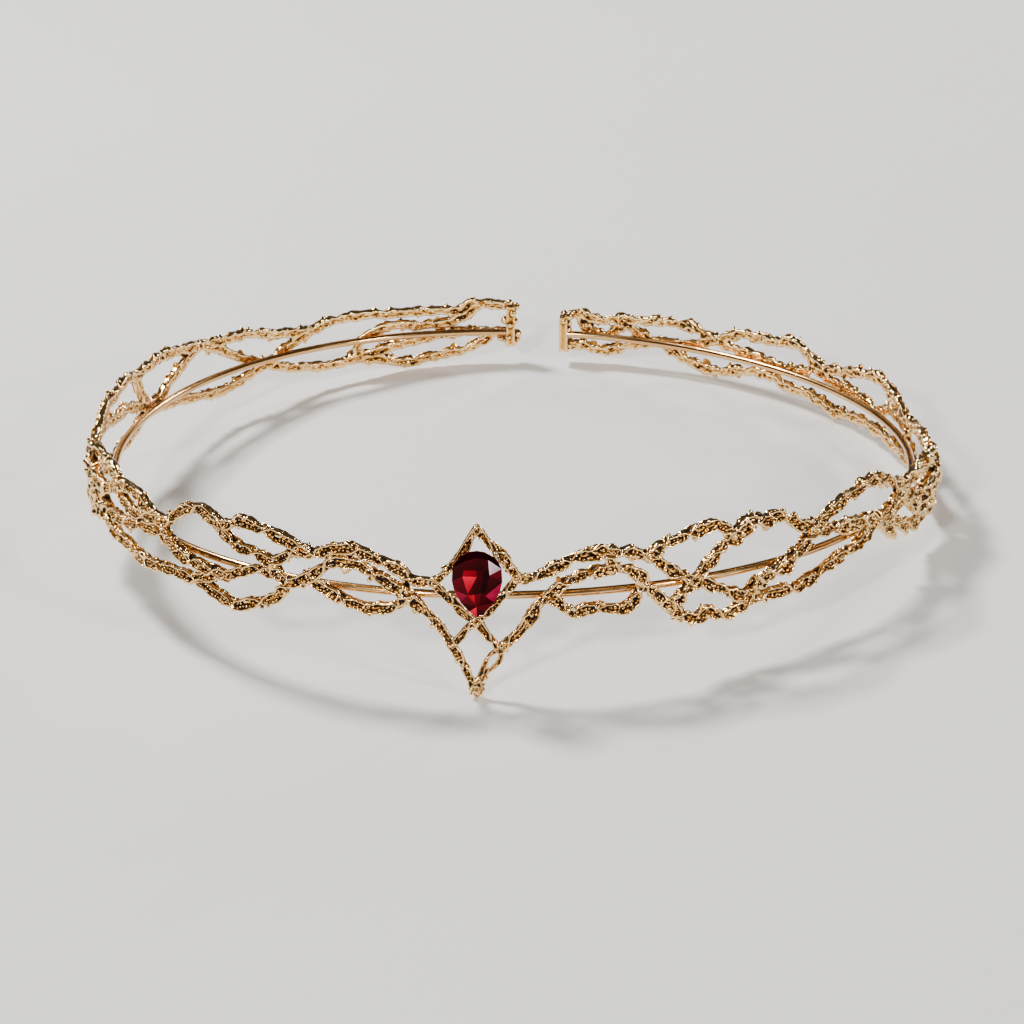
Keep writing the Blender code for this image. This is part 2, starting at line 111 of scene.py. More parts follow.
def mix(tree, share, one, other, way="MIX"):
    """Two colours mixed, or the second laid over the first in another way."""
    links = {0: share, 6: one, 7: other}
    made = add_node(tree, "ShaderNodeMix", links, data_type="RGBA", blend_type=way)
    return made.outputs[2]


def ranged(tree, value, to, past=(0, 1)):
    """A value moved from the range `past` into the range `to`."""
    links = {
        "Value": value, "From Min": past[0], "From Max": past[1],
        "To Min": to[0], "To Max": to[1],
    }
    return add_node(tree, "ShaderNodeMapRange", links).outputs["Result"]


def new_material(name):
    """A material with its node tree and its Principled shader."""
    material = bpy.data.materials.new(name)
    material.use_nodes = True
    return material, material.node_tree, material.node_tree.nodes["Principled BSDF"]


def mesh_of(shape, name):
    """The finished bmesh as a mesh; the bmesh goes."""
    mesh = bpy.data.meshes.new(name)
    shape.to_mesh(mesh)
    shape.free()
    return mesh


def new_object(name, mesh, material):
    """A mesh as an object at the origin, shaded smooth, in one material."""
    mesh.name = name
    mesh.materials.clear()
    mesh.materials.append(material)
    mesh.shade_smooth()
    made = bpy.data.objects.new(name, mesh)
    bpy.context.scene.collection.objects.link(made)
    return made


table_paint, tree, shader = new_material("matt tabletop paint")
places = add_node(tree, "ShaderNodeTexCoord").outputs["Object"]
# soft mottling, about 100 mm across
mottle = noise(tree, places, 9.0, 3.0)
pale = mix(tree, mottle, linear("#E9E6E1"), linear("#EFEDE9"))
feed(tree, shader, {"Base Color": pale, "Roughness": 0.7})
shape = bmesh.new()
bmesh.ops.create_circle(
    shape, cap_ends=True, radius=FLOOR_RADIUS, segments=96,
    matrix=Matrix.Translation((0, 0, -FLOOR_DROP)),
)
floor = new_object("floor", mesh_of(shape, "floor"), table_paint)

for name, place, size, watts in (
    ("soft_box_behind_left", (-0.50, 0.40, 0.85), 0.20, 16.0),
    ("soft_box_right", (0.72, -0.56, 0.40), 0.11, 4.5),
    ("soft_box_in_front", (-0.30, -0.90, 0.60), 0.12, 7.5),
    ("soft_box_behind_right", (0.50, 0.75, 0.35), 0.12, 3.5),
):
    lamp = bpy.data.lights.new(name, "AREA")
    lamp.shape = "SQUARE"
    lamp.size = size
    lamp.energy = watts
    holder = bpy.data.objects.new(name, lamp)
    holder.location = place
    holder.rotation_euler = (Vector(place) - LAMPS_AIM).to_track_quat("Z", "Y").to_euler()
    bpy.context.scene.collection.objects.link(holder)
room = bpy.data.worlds.new("dim room")
room.use_nodes = True
backdrop = room.node_tree.nodes["Background"]
feed(room.node_tree, backdrop, {"Color": linear("#C9CBD0"), "Strength": 0.11})
bpy.context.scene.world = room

# The wire hoop
# One length of round brass wire, drawn, gilded and polished, and bent slightly out of
# round by wear. It runs just inside the cast twigs, which are soldered to it.
HOOP_RADIUS = 0.078
HOOP_WIRE = 0.0015
OUT_OF_ROUND = 0.0012
BEND_PHASE = math.radians(-9.5)
BACK_GAP = 0.0096
SEAM_GAP = 0.0003
BAR_WIDE = 0.0020
BAR_FACE = math.pi * HOOP_RADIUS - BACK_GAP / 2
LATTICE_END = BAR_FACE - BAR_WIDE - SEAM_GAP


def on_band(distance, height, stand_off):
    """Where a place on the bent band lies, `distance` round it from the front centre."""
    angle = distance / HOOP_RADIUS - math.pi / 2
    radius = HOOP_RADIUS + OUT_OF_ROUND * math.cos(3 * (angle - BEND_PHASE)) + stand_off
    return RESTING @ Vector((radius * math.cos(angle), radius * math.sin(angle), height))


def evaluated(holder):
    """A mesh of the holder as its bevel or its modifiers leave it; the holder goes."""
    bpy.context.scene.collection.objects.link(holder)
    graph = bpy.context.evaluated_depsgraph_get()
    mesh = bpy.data.meshes.new_from_object(holder.evaluated_get(graph))
    bpy.data.objects.remove(holder)
    return mesh


def round_runs(name, runs, sides):
    """A mesh of closed round runs; each is a list of (place, radius)."""
    curve = bpy.data.curves.new(name, "CURVE")
    curve.dimensions = "3D"
    curve.bevel_depth = 1
    curve.bevel_resolution = (sides - 4) // 2
    curve.use_fill_caps = True
    for run in runs:
        spline = curve.splines.new("POLY")
        spline.points.add(len(run) - 1)
        for point, (place, radius) in zip(spline.points, run):
            point.co = (*place, 1)
            point.radius = radius
    return evaluated(bpy.data.objects.new(name, curve))


def fasten(piece, node):
    """Says what a finished piece rides on, and hides the part of the model that it stands for."""
    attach(piece, "root")
    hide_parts(node)


# Gilt drawn wire: a smooth, bright yellow metal with fine draw lines along it.
wire_gilt, tree, shader = new_material("gilt drawn wire")
places = add_node(tree, "ShaderNodeTexCoord").outputs["Object"]
split = add_node(tree, "ShaderNodeSeparateXYZ", {"Vector": places})
reach = add_node(tree, "ShaderNodeVectorMath", {0: places}, operation="LENGTH")
rings = add_node(
    tree, "ShaderNodeCombineXYZ",
    {"X": reach.outputs["Value"], "Y": split.outputs["Z"], "Z": 0.0},
)
# draw lines 0.2 mm apart: coarser than the real ones, so that they show
draw_lines = noise(tree, rings.outputs["Vector"], 5000.0, 2.0)
# patches of wear, about 8 mm across
worn = noise(tree, places, 120.0, 4.0)
lines = add_node(
    tree, "ShaderNodeBump", {"Height": draw_lines, "Distance": 0.00002, "Strength": 0.5}
)
feed(tree, shader, {
    "Base Color": mix(tree, worn, linear("#D79C55"), linear("#F0C58A")),
    "Metallic": 1.0,
    "Roughness": ranged(tree, worn, (0.10, 0.26)),
    "Normal": lines.outputs["Normal"],
})

HOOP_STEPS = 300
HOOP_SIDES = 16
hoop_run = [
    (on_band((LATTICE_END + 2 * SEAM_GAP) * (2 * step / HOOP_STEPS - 1), 0, 0), HOOP_WIRE / 2)
    for step in range(HOOP_STEPS + 1)
]
wire_hoop = new_object("wire_hoop", round_runs("wire_hoop", [hoop_run], HOOP_SIDES), wire_gilt)
fasten(wire_hoop, "band_wire")

# The cast twigs
# Each side of the band is one pierced casting of entwined twigs, in brass or a zinc alloy,
# gilded over a dark wash. A twig has a fine ridge along each edge, and grains packed
# between the two ridges. It is cast in a rubber mould, so every edge is soft.
TWIG = 0.0019
BAND_REACH = 0.010
FRAME_SIDE = 0.0088
LATTICE_START = FRAME_SIDE + SEAM_GAP
# A dressed twig is wider than its plain run, and goes on a little past its last stations.
SPREAD = 1.17
JOIN_REACH = 0.0006
SAMPLE_STEP = 0.00035
RUN_SIDES = 8
KNOB = 0.00085
# A casting is made in a front and a back part, which overlap this far from the front
# centre, and the sides of the band begin a little before that.
FRONT_REACH = 0.085
PARTS_OVERLAP = 0.001
SIDE_REACH = 0.070
# The grain of the fused mesh in each part. A cast grain larger than FUSED_GRAIN is fused too.
FRONT_GRAIN_MESH = 0.00024
BACK_GRAIN_MESH = 0.00031
FUSED_GRAIN = 0.00045
# How uneven a twig is, and how far apart the grains behind it sit, in samples.
RAGGED = 1.0
CALM = 0.6
SPARSE = 2.6
DENSE = 1.5

# One station of a twig, all in hundredths: how far it is along the band from the centre
# frame to the end bar, its height as a share of BAND_REACH, and its thickness and its
# stand-off from the hoop as shares of TWIG.
Station = namedtuple("Station", "along up girth proud", defaults=(100, 0))

RIGHT_TWIGS = {
    "brow_branch": (
        (0, 39), (0.7, 41), (2.8, 64), (4.8, 80, 110), (7.0, 79, 120), (9.4, 64), (12.0, 24),
        (14.8, -8), (17.9, -42), (19.6, -48),
    ),
    "drop_branch": (
        (0, -46), (0.4, -34), (0.8, -16), (1.5, 0), (3.2, 31), (5.0, 44), (7.0, 47), (8.5, 36),
        (10.1, -8), (11.5, -38),
    ),
    "rung": ((6.3, 79), (6.7, 46)),
    "low_loop": (
        (2.0, 3), (2.8, -19), (3.7, -30), (5.2, -23), (7.4, -29), (8.5, -12), (9.0, 24),
    ),
    "crest": ((9.5, 62), (10.7, 82), (12.4, 94), (14.6, 106, 110), (15.9, 98), (17.0, 78)),
    "climber": (
        (11.5, -38), (13.4, 8), (15.7, 60), (17.0, 78, 120), (18.3, 102, 135), (19.8, 94, 115),
        (20.9, 98), (23.1, 69), (24.9, 50, 110),
    ),
    "keel": (
        (11.1, -32), (13.2, -66, 115), (14.4, -58), (16.1, -70, 110), (18.3, -53), (20.5, -48),
        (22.7, -52, 110), (24.9, -40), (27.5, -23), (30.1, -13), (32.3, 6), (33.6, 18),
    ),
    "great_branch": (
        (18.1, -42), (19.2, -19, 120), (21.4, -2, 130), (23.6, 30, 120), (25.7, 67, 110),
        (27.9, 86), (30.1, 96), (31.9, 103, 120), (33.6, 92), (35.8, 68), (37.8, 52, 110),
    ),
    "eye": (
        (24.9, 46), (27.1, 38), (29.5, 33, 140), (31.4, 26, 110), (33.2, 15), (35.4, 26),
        (37.5, 48),
    ),
    "fan": ((33.0, 10), (35.4, 8), (38.0, 26)),
    "spur": ((33.0, 12), (34.3, -10), (35.8, -32)),
    "upper_rail": (
        (37.0, 54), (40.2, 46, 110), (42.8, 54, 120, 25), (45.4, 42, 125, 60), (48.5, 34, 115, 50),
        (51.1, 42, 110, 10), (53.7, 36), (56.3, 28), (58.5, 42), (60.7, 53, 115), (63.3, 66, 110),
        (66.0, 56), (68.6, 45), (70.8, 34), (72.9, 33), (74.7, 53), (76.5, 62, 115), (78.2, 52),
        (80.4, 52), (82.6, 49), (85.2, 25), (87.8, 4), (90.9, -2), (93.0, 8), (95.0, 38),
    ),
    "middle_rail": (
        (37.2, 38), (39.3, 18, 115), (41.9, 4, 125, 50), (44.5, 14, 130, 105), (47.2, -6, 120, 75),
        (49.8, -20, 110, 10), (52.4, -38), (54.6, -32), (56.3, -8), (57.9, 20), (59.0, 44),
    ),
    "side_cross": (
        (38.0, 26), (40.6, -15, 115, 40), (43.2, -22, 125, 95), (45.8, 8, 125, 125),
        (48.5, 22, 115, 80), (51.5, 41),
    ),
    "heart_rail": (
        (57.6, 12), (59.4, 18), (61.1, 16), (62.5, 2), (63.8, -8), (66.0, 0), (68.6, 8), (70.8, 9),
        (72.9, 21), (74.7, 8), (77.3, -1), (80.4, 8), (83.4, 14), (85.6, 28), (87.8, 42, 110),
        (90.4, 45), (93.0, 40), (95.2, 40), (97.0, 31), (98.7, 42), (99.9, 42),
    ),
    "lower_rail": (
        (35.2, 4), (37.5, -28), (39.7, -50), (41.9, -56, 115, 20), (44.5, -38, 125, 80),
        (47.2, -46, 120, 40), (50.2, -60), (53.7, -56), (57.2, -52), (60.3, -49), (62.9, -46),
        (66.0, -44), (68.6, -50), (70.8, -54, 110), (73.8, -39), (76.5, -40), (79.1, -26),
        (81.7, -29), (84.7, -44), (86.9, -42, 110), (89.1, -26), (91.3, -4),
    ),
    "end_twig": ((90.7, -2), (93.5, -14), (95.2, -28), (97.0, -38), (98.7, -30), (99.9, -30)),
    "end_eye": ((94.7, 32), (95.9, 6), (97.4, 0), (98.6, 14), (99.2, 36)),
}

LEFT_TWIGS = {
    "brow_branch": (
        (0, 30), (0.7, 33), (1.8, 53), (3.5, 66), (5.2, 81, 110), (7.0, 76), (8.7, 61),
        (10.9, 81, 110), (13.1, 91), (14.8, 97, 110), (16.7, 80), (18.8, 96, 110), (20.9, 83),
        (23.1, 48),
        (24.4, 42), (26.2, 52, 110), (27.9, 66, 110), (30.1, 62), (31.9, 62, 110), (34.0, 70, 115),
        (36.2, 62),
    ),
    "upper_rail": (
        (35.8, 63), (38.9, 65, 115, 40), (41.5, 54, 125, 80), (44.1, 72, 115, 40),
        (46.7, 94, 110, 10), (49.3, 89), (51.5, 90), (53.7, 96), (56.3, 84), (59.4, 87),
        (61.6, 90, 110), (65.1, 81), (68.1, 73), (71.2, 65), (74.3, 61), (77.7, 44), (81.3, 36),
        (83.4, 48), (86.5, 51), (89.6, 47), (93.0, 47), (95.7, 46), (97.2, 62), (98.9, 56),
        (99.9, 56),
    ),
    "drop_branch": (
        (0, -19), (0.6, -6), (1.3, 10, 145), (2.2, 20, 110), (3.7, 40), (5.2, 54), (7.0, 50),
        (8.7, 18), (10.7, -6), (11.8, -36), (13.9, -56), (15.7, -69, 110), (17.4, -58),
        (19.6, -47), (22.2, -46), (24.9, -54, 110), (27.5, -58, 110), (30.5, -52),
        (33.2, -56, 110, 15),
    ),
    "lower_rail": (
        (32.7, -55), (35.8, -38, 115, 50), (38.4, -46, 125, 80), (41.0, -26, 125, 110),
        (43.7, -20, 115, 70), (46.3, -30, 110, 20), (48.9, -32), (52.0, -32), (55.0, -28),
        (58.1, -11), (61.6, -18), (65.1, -27), (68.1, -39), (71.2, -44), (73.8, -33), (76.0, -19),
        (78.6, -36), (82.1, -49), (84.7, -49), (87.4, -36), (90.4, -24), (93.0, -13), (95.7, -5),
        (98.3, -5), (99.9, -5),
    ),
    "low_loop": ((1.2, 4), (1.9, -19), (3.9, -27), (5.6, -20), (7.4, -3), (8.9, 14)),
    "eye": ((8.9, 69), (10.4, 54), (11.8, 31), (11.5, 12), (10.6, -4)),
    "inner_branch": ((11.8, 30), (13.7, 42), (15.7, 51), (17.6, 86)),
    "thin_twig": ((11.5, 12), (13.9, 8, 90), (16.1, -14, 90), (18.8, -34, 90), (20.1, -46)),
    "nugget_twig": ((16.3, -18), (18.8, -14, 110), (21.4, -7, 115), (23.1, 14), (24.4, 40)),
    "middle_rail": (
        (22.7, 8), (25.7, 13), (28.4, 2), (30.5, -12), (32.7, -18), (35.4, -22, 115, 20),
        (38.0, -8, 125, 60), (40.6, 16, 125, 115), (43.2, 42, 115, 90), (45.4, 62, 110, 30),
        (47.6, 54), (50.7, 40), (54.1, 33), (56.3, 20), (58.5, 4, 110), (61.1, 7), (62.9, 26),
        (65.1, 48), (67.3, 71),
    ),
    "shoulder": ((24.4, 39), (27.1, 30), (29.2, 24), (31.4, 38, 115), (33.4, 64)),
    "side_cross": ((32.7, 52), (35.4, 18, 110, 20), (38.0, 26, 120, 90), (40.2, 50, 115, 85)),
    "upright": ((56.1, 84), (57.0, 50), (57.9, 24), (58.5, 4)),
    "slant": (
        (68.1, 71), (70.3, 50), (72.5, 22), (74.3, 2), (76.5, -14), (77.9, 2), (79.5, 18),
        (81.4, 35),
    ),
    "rising_twig": (
        (86.1, -42), (86.1, -15), (87.6, 9), (89.6, 20), (92.2, 15), (94.8, 19), (96.5, 34),
        (97.6, 58),
    ),
    "belly": (
        (85.6, -46), (88.7, -56), (90.6, -67, 110), (93.0, -58), (96.1, -46), (98.0, -26),
        (99.0, -8),
    ),
}

# Short spurs that the cast twigs end in: centre of each bud, in the same shares.
RIGHT_BUDS = (
    (3.8, -37), (6.6, 88), (13.2, -74), (18.2, 112), (19.8, 80), (29.6, 82), (34.6, 73),
    (35.9, -38), (16.2, -77), (43.0, 62, 100, 120), (45.4, 10, 100, 190), (47.5, 44, 100, 130),
    (44.8, -46, 100, 150), (63.3, 74), (76.3, 70), (70.8, -61), (87.0, -49),
)
LEFT_BUDS = (
    (0.5, -27), (5.9, 41), (7.4, -14), (16.6, 58), (15.8, -76), (25.0, -62), (34.0, 79),
    (38.6, 12, 100, 110), (41.2, 62, 100, 130), (40.8, 2, 100, 150), (38.6, -56, 100, 140),
    (41.4, -38, 100, 160), (54.0, 103), (61.6, 97), (65.1, -35), (90.6, -74), (97.2, 69),
)

# Single beads that hang from the twigs or stand on them: the same shares, with the bead's
# diameter as its girth.
RIGHT_BEADS = (
    (2.5, 33, 60), (3.3, 32, 50), (13.2, 12, 60, -20), (19.6, 72, 60), (18.4, 113, 55),
    (24.2, 72, 70, 30), (28.6, 44, 70, 20), (30.2, 108, 60), (33.4, 101, 60, 30),
    (36.0, -42, 60, 40), (38.6, -58, 60, 60), (40.6, 57, 70, 70), (43.4, 66, 75, 90),
    (46.0, 52, 80, 110), (47.6, 30, 75, 150), (45.2, -8, 80, 160), (43.2, -34, 75, 130),
    (41.0, -30, 70, 90), (46.8, -54, 70, 90), (49.0, 14, 70, 110),
)
LEFT_BEADS = (
    (5.9, 37, 75), (5.5, 33, 45), (7.3, -19, 55), (0.7, -29, 50), (16.9, 66, 40), (17.5, 60, 60),
    (18.3, 56, 50), (14.2, -66, 60), (35.6, 72, 60, 60), (37.4, 4, 75, 90), (39.2, 72, 75, 110),
    (41.0, 46, 80, 150), (42.6, 22, 80, 160), (41.6, -14, 80, 150), (39.8, -54, 70, 110),
    (43.8, 64, 75, 110), (45.2, 88, 70, 70), (44.6, -30, 70, 110), (38.2, -62, 60, 90),
)

# One sample of a run, in metres: how far round the band it is, its height, its stand-off
# from the hoop's middle and half its width.
Sample = namedtuple("Sample", "distance height stand_off half")
CURVE_STEPS = 24
FEWEST_SAMPLES = 4


def sampled(rows, step):
    """Evenly spaced samples on a smooth line through the rows, and just past both its ends."""
    knots = np.array(rows, float)
    for end, inner in ((0, 1), (-1, -2)):
        last_run = knots[end, :3] - knots[inner, :3]
        knots[end, :3] += last_run / np.linalg.norm(last_run) * JOIN_REACH
    ends = np.vstack([2 * knots[0] - knots[1], knots, 2 * knots[-1] - knots[-2]])
    fine = []
    for a, b, c, d in zip(ends, ends[1:], ends[2:], ends[3:]):
        for t in np.linspace(0, 1, CURVE_STEPS, endpoint=False):
            fine.append(
                0.5 * (2 * b + (c - a) * t + (2 * a - 5 * b + 4 * c - d) * t * t
                       + (3 * b - a - 3 * c + d) * t ** 3)
            )
    fine.append(knots[-1])
    fine = np.array(fine)
    steps = np.linalg.norm(np.diff(fine[:, :3], axis=0), axis=1)
    lengths = np.concatenate([[0], np.cumsum(steps)])
    count = max(3, round(lengths[-1] / step))
    even = np.linspace(0, lengths[-1], count)
    columns = [np.interp(even, lengths, fine[:, axis]) for axis in range(4)]
    return [Sample(*values) for values in zip(*columns)]


def beside(samples, index, sideways, outwards):
    """A place off the twig's middle, given in shares of half its width."""
    here = samples[index]
    ahead = samples[min(index + 1, len(samples) - 1)]
    behind = samples[max(index - 1, 0)]
    run = Vector((ahead.distance - behind.distance, ahead.height - behind.height)).normalized()
    return on_band(
        here.distance - run.y * sideways * here.half,
        here.height + run.x * sideways * here.half,
        here.stand_off + outwards * here.half,
    )


# A grain from end to end, in shares of its radius: how far along it, and how thick.
GRAIN_PROFILE = ((-1, 0.15), (-0.7, 0.75), (0, 1), (0.7, 0.75), (1, 0.15))


def grain(place, radius, heading):
    """A cast grain: a short run with round ends."""
    return [(place + heading * radius * along, radius * thick) for along, thick in GRAIN_PROFILE]


# The waves that make a twig uneven: the height of each, and its radians for a millimetre.
# Swellings are shares of the width, lifts are in metres, ripples are shares of half a twig.
SWELLINGS = ((0.13, 0.83), (0.09, 2.17))
LIFTS = ((0.00010, 1.21), (0.00006, 2.9))
RIPPLES = ((0.10, 1.9), (0.08, 4.3))
ANY_PHASE = (0, 6.28)


def waves(kind, along, phases):
    """The sum of two waves at a place along a twig, in millimetres."""
    return sum(
        height * math.sin(along * turn + phase) for (height, turn), phase in zip(kind, phases)
    )


def uneven(samples, luck, ragged):
    """The samples with the small kinks and swellings that a real twig has."""
    swell, kink = luck.uniform(*ANY_PHASE), luck.uniform(*ANY_PHASE)
    made = []
    for index, here in enumerate(samples):
        along = index * SAMPLE_STEP * 1000
        made.append(here._replace(
            half=here.half * (1 + ragged * waves(SWELLINGS, along, (swell, kink))),
            height=here.height + ragged * waves(LIFTS, along, (kink, swell)),
        ))
    return made


# The runs that make a twig, in shares of half its width: how far to the side of its middle
# and how far out each lies, and its radius. The two edges cross over each other now and
# then, one rising and one sinking, and a fine ridge stands on each.
CORE_OUT, CORE_RADIUS = -0.16, 0.48
REAR_SIDE, REAR_OUT, REAR_RADIUS = 0.66, -0.42, 0.28
EDGE_SIDE, EDGE_OUT, EDGE_RADIUS = 0.78, 0.34, 0.22
EDGE_SINK, RIDGE_RISE = 0.08, 0.13
RIDGE_RADIUS, RIDGE_CHANGE = 0.20, 0.25
OVER, UNDER = 0.34, 0.1
# In millimetres: where the first crossing is, from one to the next, and half of one.
FIRST_CROSSING = (2, 6)
NEXT_CROSSING = (4, 11)
HALF_CROSSING = 0.8


def twig_runs(samples, luck, ragged):
    """One twig's round runs, fused later, and the fine ridges that go on along its edges."""
    count = len(samples)
    crossings = [luck.uniform(*FIRST_CROSSING)]
    while crossings[-1] * 0.001 < count * SAMPLE_STEP:
        crossings.append(crossings[-1] + luck.uniform(*NEXT_CROSSING))
    phase = luck.uniform(*ANY_PHASE)
    core, left, right, rear_left, rear_right, left_ridge, right_ridge = ([] for _ in range(7))
    for index, here in enumerate(samples):
        along = index * SAMPLE_STEP * 1000
        nearest = min(crossings, key=lambda at: abs(at - along))
        passed = sum(1 for at in crossings if at < along)
        swing = math.tanh((along - nearest) / HALF_CROSSING)
        side = (1 if passed % 2 else -1) * abs(swing)
        climb = 1 - abs(swing)
        ripple = ragged * waves(RIPPLES, along, (phase, 2 * phase))
        ridge_half = here.half * (RIDGE_RADIUS + RIDGE_CHANGE * ripple)
        for run, ridge, way, out in (
            (left, left_ridge, side * (EDGE_SIDE + ripple), EDGE_OUT + OVER * climb),
            (right, right_ridge, -side * (EDGE_SIDE - ripple), EDGE_OUT - UNDER * climb),
        ):
            run.append((beside(samples, index, way, out - EDGE_SINK), here.half * EDGE_RADIUS))
            ridge.append((beside(samples, index, way, out + RIDGE_RISE), ridge_half))
        core.append((beside(samples, index, 0, CORE_OUT), here.half * CORE_RADIUS))
        for run, way in ((rear_left, REAR_SIDE + ripple), (rear_right, ripple - REAR_SIDE)):
            run.append((beside(samples, index, way, REAR_OUT), here.half * REAR_RADIUS))
    return [core, left, right, rear_left, rear_right], [left_ridge, right_ridge]


# The grains in their three rows: how far to the side and out, in shares of half the twig,
# how far apart in samples, and how far a grain may stray. The rear row takes its own pitch.
GRAIN_ROWS = ((-0.28, 0.42, 2.0, 0.14), (0.28, 0.42, 2.0, 0.14), (0, -0.56, None, 0.3))
GRAIN_SIZES = (0.16, 0.20, 0.24, 0.28, 0.36)
GRAINS_OUT = (-0.06, 0.12)
GRAIN_SPACING = (0.6, 1.35)
GRAIN_ROOT = -0.2
# The lumps on a twig's edges: how many together, how far on to the first and to the next
# in samples, and their radii as shares of LUMP, or of SIDE_LUMP at the sides of the band.
LUMPS_TOGETHER = (1, 1, 2, 4)
FIRST_LUMP = (3, 12)
NEXT_LUMP = (5, 20)
LUMP_RADIUS = (0.30, 0.52)
LUMP, SIDE_LUMP = 0.001, 0.0014
# Where a twig stands this far off the hoop, this share of its samples has a coarse grain.
STANDS_PROUD = 0.0004
COARSE_SHARE = 0.24
COARSE_RADIUS = (0.42, 0.66)


def twig_grains(samples, luck, lumpy, rear_pitch):
    """The places, sizes and outward directions of the grains packed along one twig."""
    found = []

    def put(index, sideways, outwards, radius):
        place = beside(samples, index, sideways, outwards)
        root = beside(samples, index, 0, GRAIN_ROOT)
        found.append((place, radius, (place - root).normalized()))

    count = len(samples)
    for sideways, outwards, pitch, stray in GRAIN_ROWS:
        at = luck.uniform(0.5, 1.5)
        while at < count - 1:
            radius = luck.choice(GRAIN_SIZES) * samples[int(at)].half
            put(
                int(at), sideways + luck.uniform(-stray, stray),
                outwards + luck.uniform(*GRAINS_OUT), radius,
            )
            at += (pitch or rear_pitch) * luck.uniform(*GRAIN_SPACING)
    at = luck.uniform(*FIRST_LUMP)
    while lumpy and at < count - 3:
        edge = luck.choice((-1, 1))
        size = SIDE_LUMP if abs(samples[int(at)].distance) > SIDE_REACH else LUMP
        for _ in range(luck.choice(LUMPS_TOGETHER)):
            put(
                int(at) + luck.randint(-2, 2), edge * luck.uniform(0.75, 1.15),
                luck.uniform(0, 0.6), luck.uniform(*LUMP_RADIUS) * size,
            )
        at += luck.uniform(*NEXT_LUMP)
    for index, here in enumerate(samples):
        proud = here.stand_off - here.half / SPREAD - HOOP_WIRE / 2 - SEAM_GAP
        if proud > STANDS_PROUD and luck.random() < COARSE_SHARE:
            put(
                index, luck.uniform(-0.9, 0.9), luck.uniform(0.3, 0.8),
                luck.uniform(*COARSE_RADIUS) * here.half,
            )
    return found


# Every grain is one small ball, set on a point and as large as that point says. Its colour is
# painted bright on the side facing away from the twig and dark where it sinks into the twig:
# the dark wash of that recess, and painted shade.
scatter = bpy.data.node_groups.new("grain scatter", "GeometryNodeTree")
for way in ("INPUT", "OUTPUT"):
    scatter.interface.new_socket("Geometry", in_out=way, socket_type="NodeSocketGeometry")
seeds = add_node(scatter, "NodeGroupInput")
size = add_node(scatter, "GeometryNodeInputNamedAttribute", {"Name": "size"}, data_type="FLOAT")
ball = add_node(scatter, "GeometryNodeMeshIcoSphere", {"Radius": 1.0, "Subdivisions": 1})
placed = add_node(
    scatter, "GeometryNodeInstanceOnPoints",
    {"Points": seeds.outputs[0], "Instance": ball.outputs["Mesh"],
     "Scale": size.outputs["Attribute"]},
)
joined = add_node(scatter, "GeometryNodeRealizeInstances", {"Geometry": placed.outputs[0]})
facing = add_node(scatter, "GeometryNodeInputNormal")
outward = add_node(
    scatter, "GeometryNodeInputNamedAttribute", {"Name": "outward"}, data_type="FLOAT_VECTOR"
)
lit = add_node(
    scatter, "ShaderNodeVectorMath",
    {0: facing.outputs[0], 1: outward.outputs["Attribute"]}, operation="DOT_PRODUCT",
)
sunk_wash_and_shade = add_node(
    scatter, "ShaderNodeMath",
    {0: lit.outputs["Value"], 1: -0.38, 2: 0.40}, operation="MULTIPLY_ADD",
)
marked = add_node(
    scatter, "GeometryNodeStoreNamedAttribute",
    {"Geometry": joined.outputs[0], "Name": "hollow", "Value": sunk_wash_and_shade.outputs[0]},
    data_type="FLOAT", domain="POINT",
)
add_node(scatter, "NodeGroupOutput", {0: marked.outputs[0]})


def grain_piece(name, grains, node):
    """All the loose grains of a casting as one mesh."""
    shape = bmesh.new()
    size = shape.verts.layers.float.new("size")
    outward = shape.verts.layers.float_vector.new("outward")
    for place, radius, away in grains:
        seed = shape.verts.new(place)
        seed[size] = radius
        seed[outward] = away
    holder = bpy.data.objects.new(name, mesh_of(shape, name))
    holder.modifiers.new("grains", "NODES").node_group = scatter
    fasten(new_object(name, evaluated(holder), antique_gilt), node)


def rows_of(parts, field, width, kind=float):
    """One field of all a mesh's corners or edges as rows of numbers."""
    values = np.empty(len(parts) * width, kind)
    parts.foreach_get(field, values)
    return values.reshape(-1, width)


def keep_hollow(mesh, hollow):
    """Stores on a mesh how dark each corner is painted, for its material to read: dark wash and
    painted shade.
    """
    depths = mesh.attributes.new("hollow", "FLOAT", "POINT")
    depths.data.foreach_set("value", hollow.astype(np.float32))


# How dark a ridge's colour is painted on its flanks, and how much of that goes where it faces
# outwards: the dark wash where it meets the twig, and painted shade.
RIDGE_WASH_AND_SHADE = 0.30
RIDGE_LIT = 0.27


def ridge_piece(name, runs, node):
    """The fine ridges along the twigs' edges, painted bright outside and dark where they meet the
    twig: dark wash and painted shade.
    """
    mesh = round_runs(name, runs, RUN_SIDES)
    away = rows_of(mesh.vertices, "co", 3) * (1, 1, 0)
    away /= np.linalg.norm(away, axis=1)[:, None]
    facing = rows_of(mesh.vertex_normals, "vector", 3)
    keep_hollow(mesh, RIDGE_WASH_AND_SHADE - RIDGE_LIT * np.einsum("ij,ij->i", facing, away))
    fasten(new_object(name, mesh, antique_gilt), node)


# A knob in shares of its radius: its large grain, and how far out its small ones sit.
KNOB_HEART = 0.8
KNOB_OUT = 0.7
KNOB_GRAIN = (0.28, 0.42)
KNOB_GRAINS = 6


def knob_runs(place, luck):
    """A knob that a twig ends in: one large grain with small ones round it."""
    runs = [grain(place, KNOB * KNOB_HEART, Vector((0, 0, 1)))]
    for _ in range(KNOB_GRAINS):
        away = Vector((luck.gauss(0, 1), luck.gauss(0, 1), luck.gauss(0, 1))).normalized()
        runs.append(grain(place + away * KNOB * KNOB_OUT, KNOB * luck.uniform(*KNOB_GRAIN), away))
    return runs


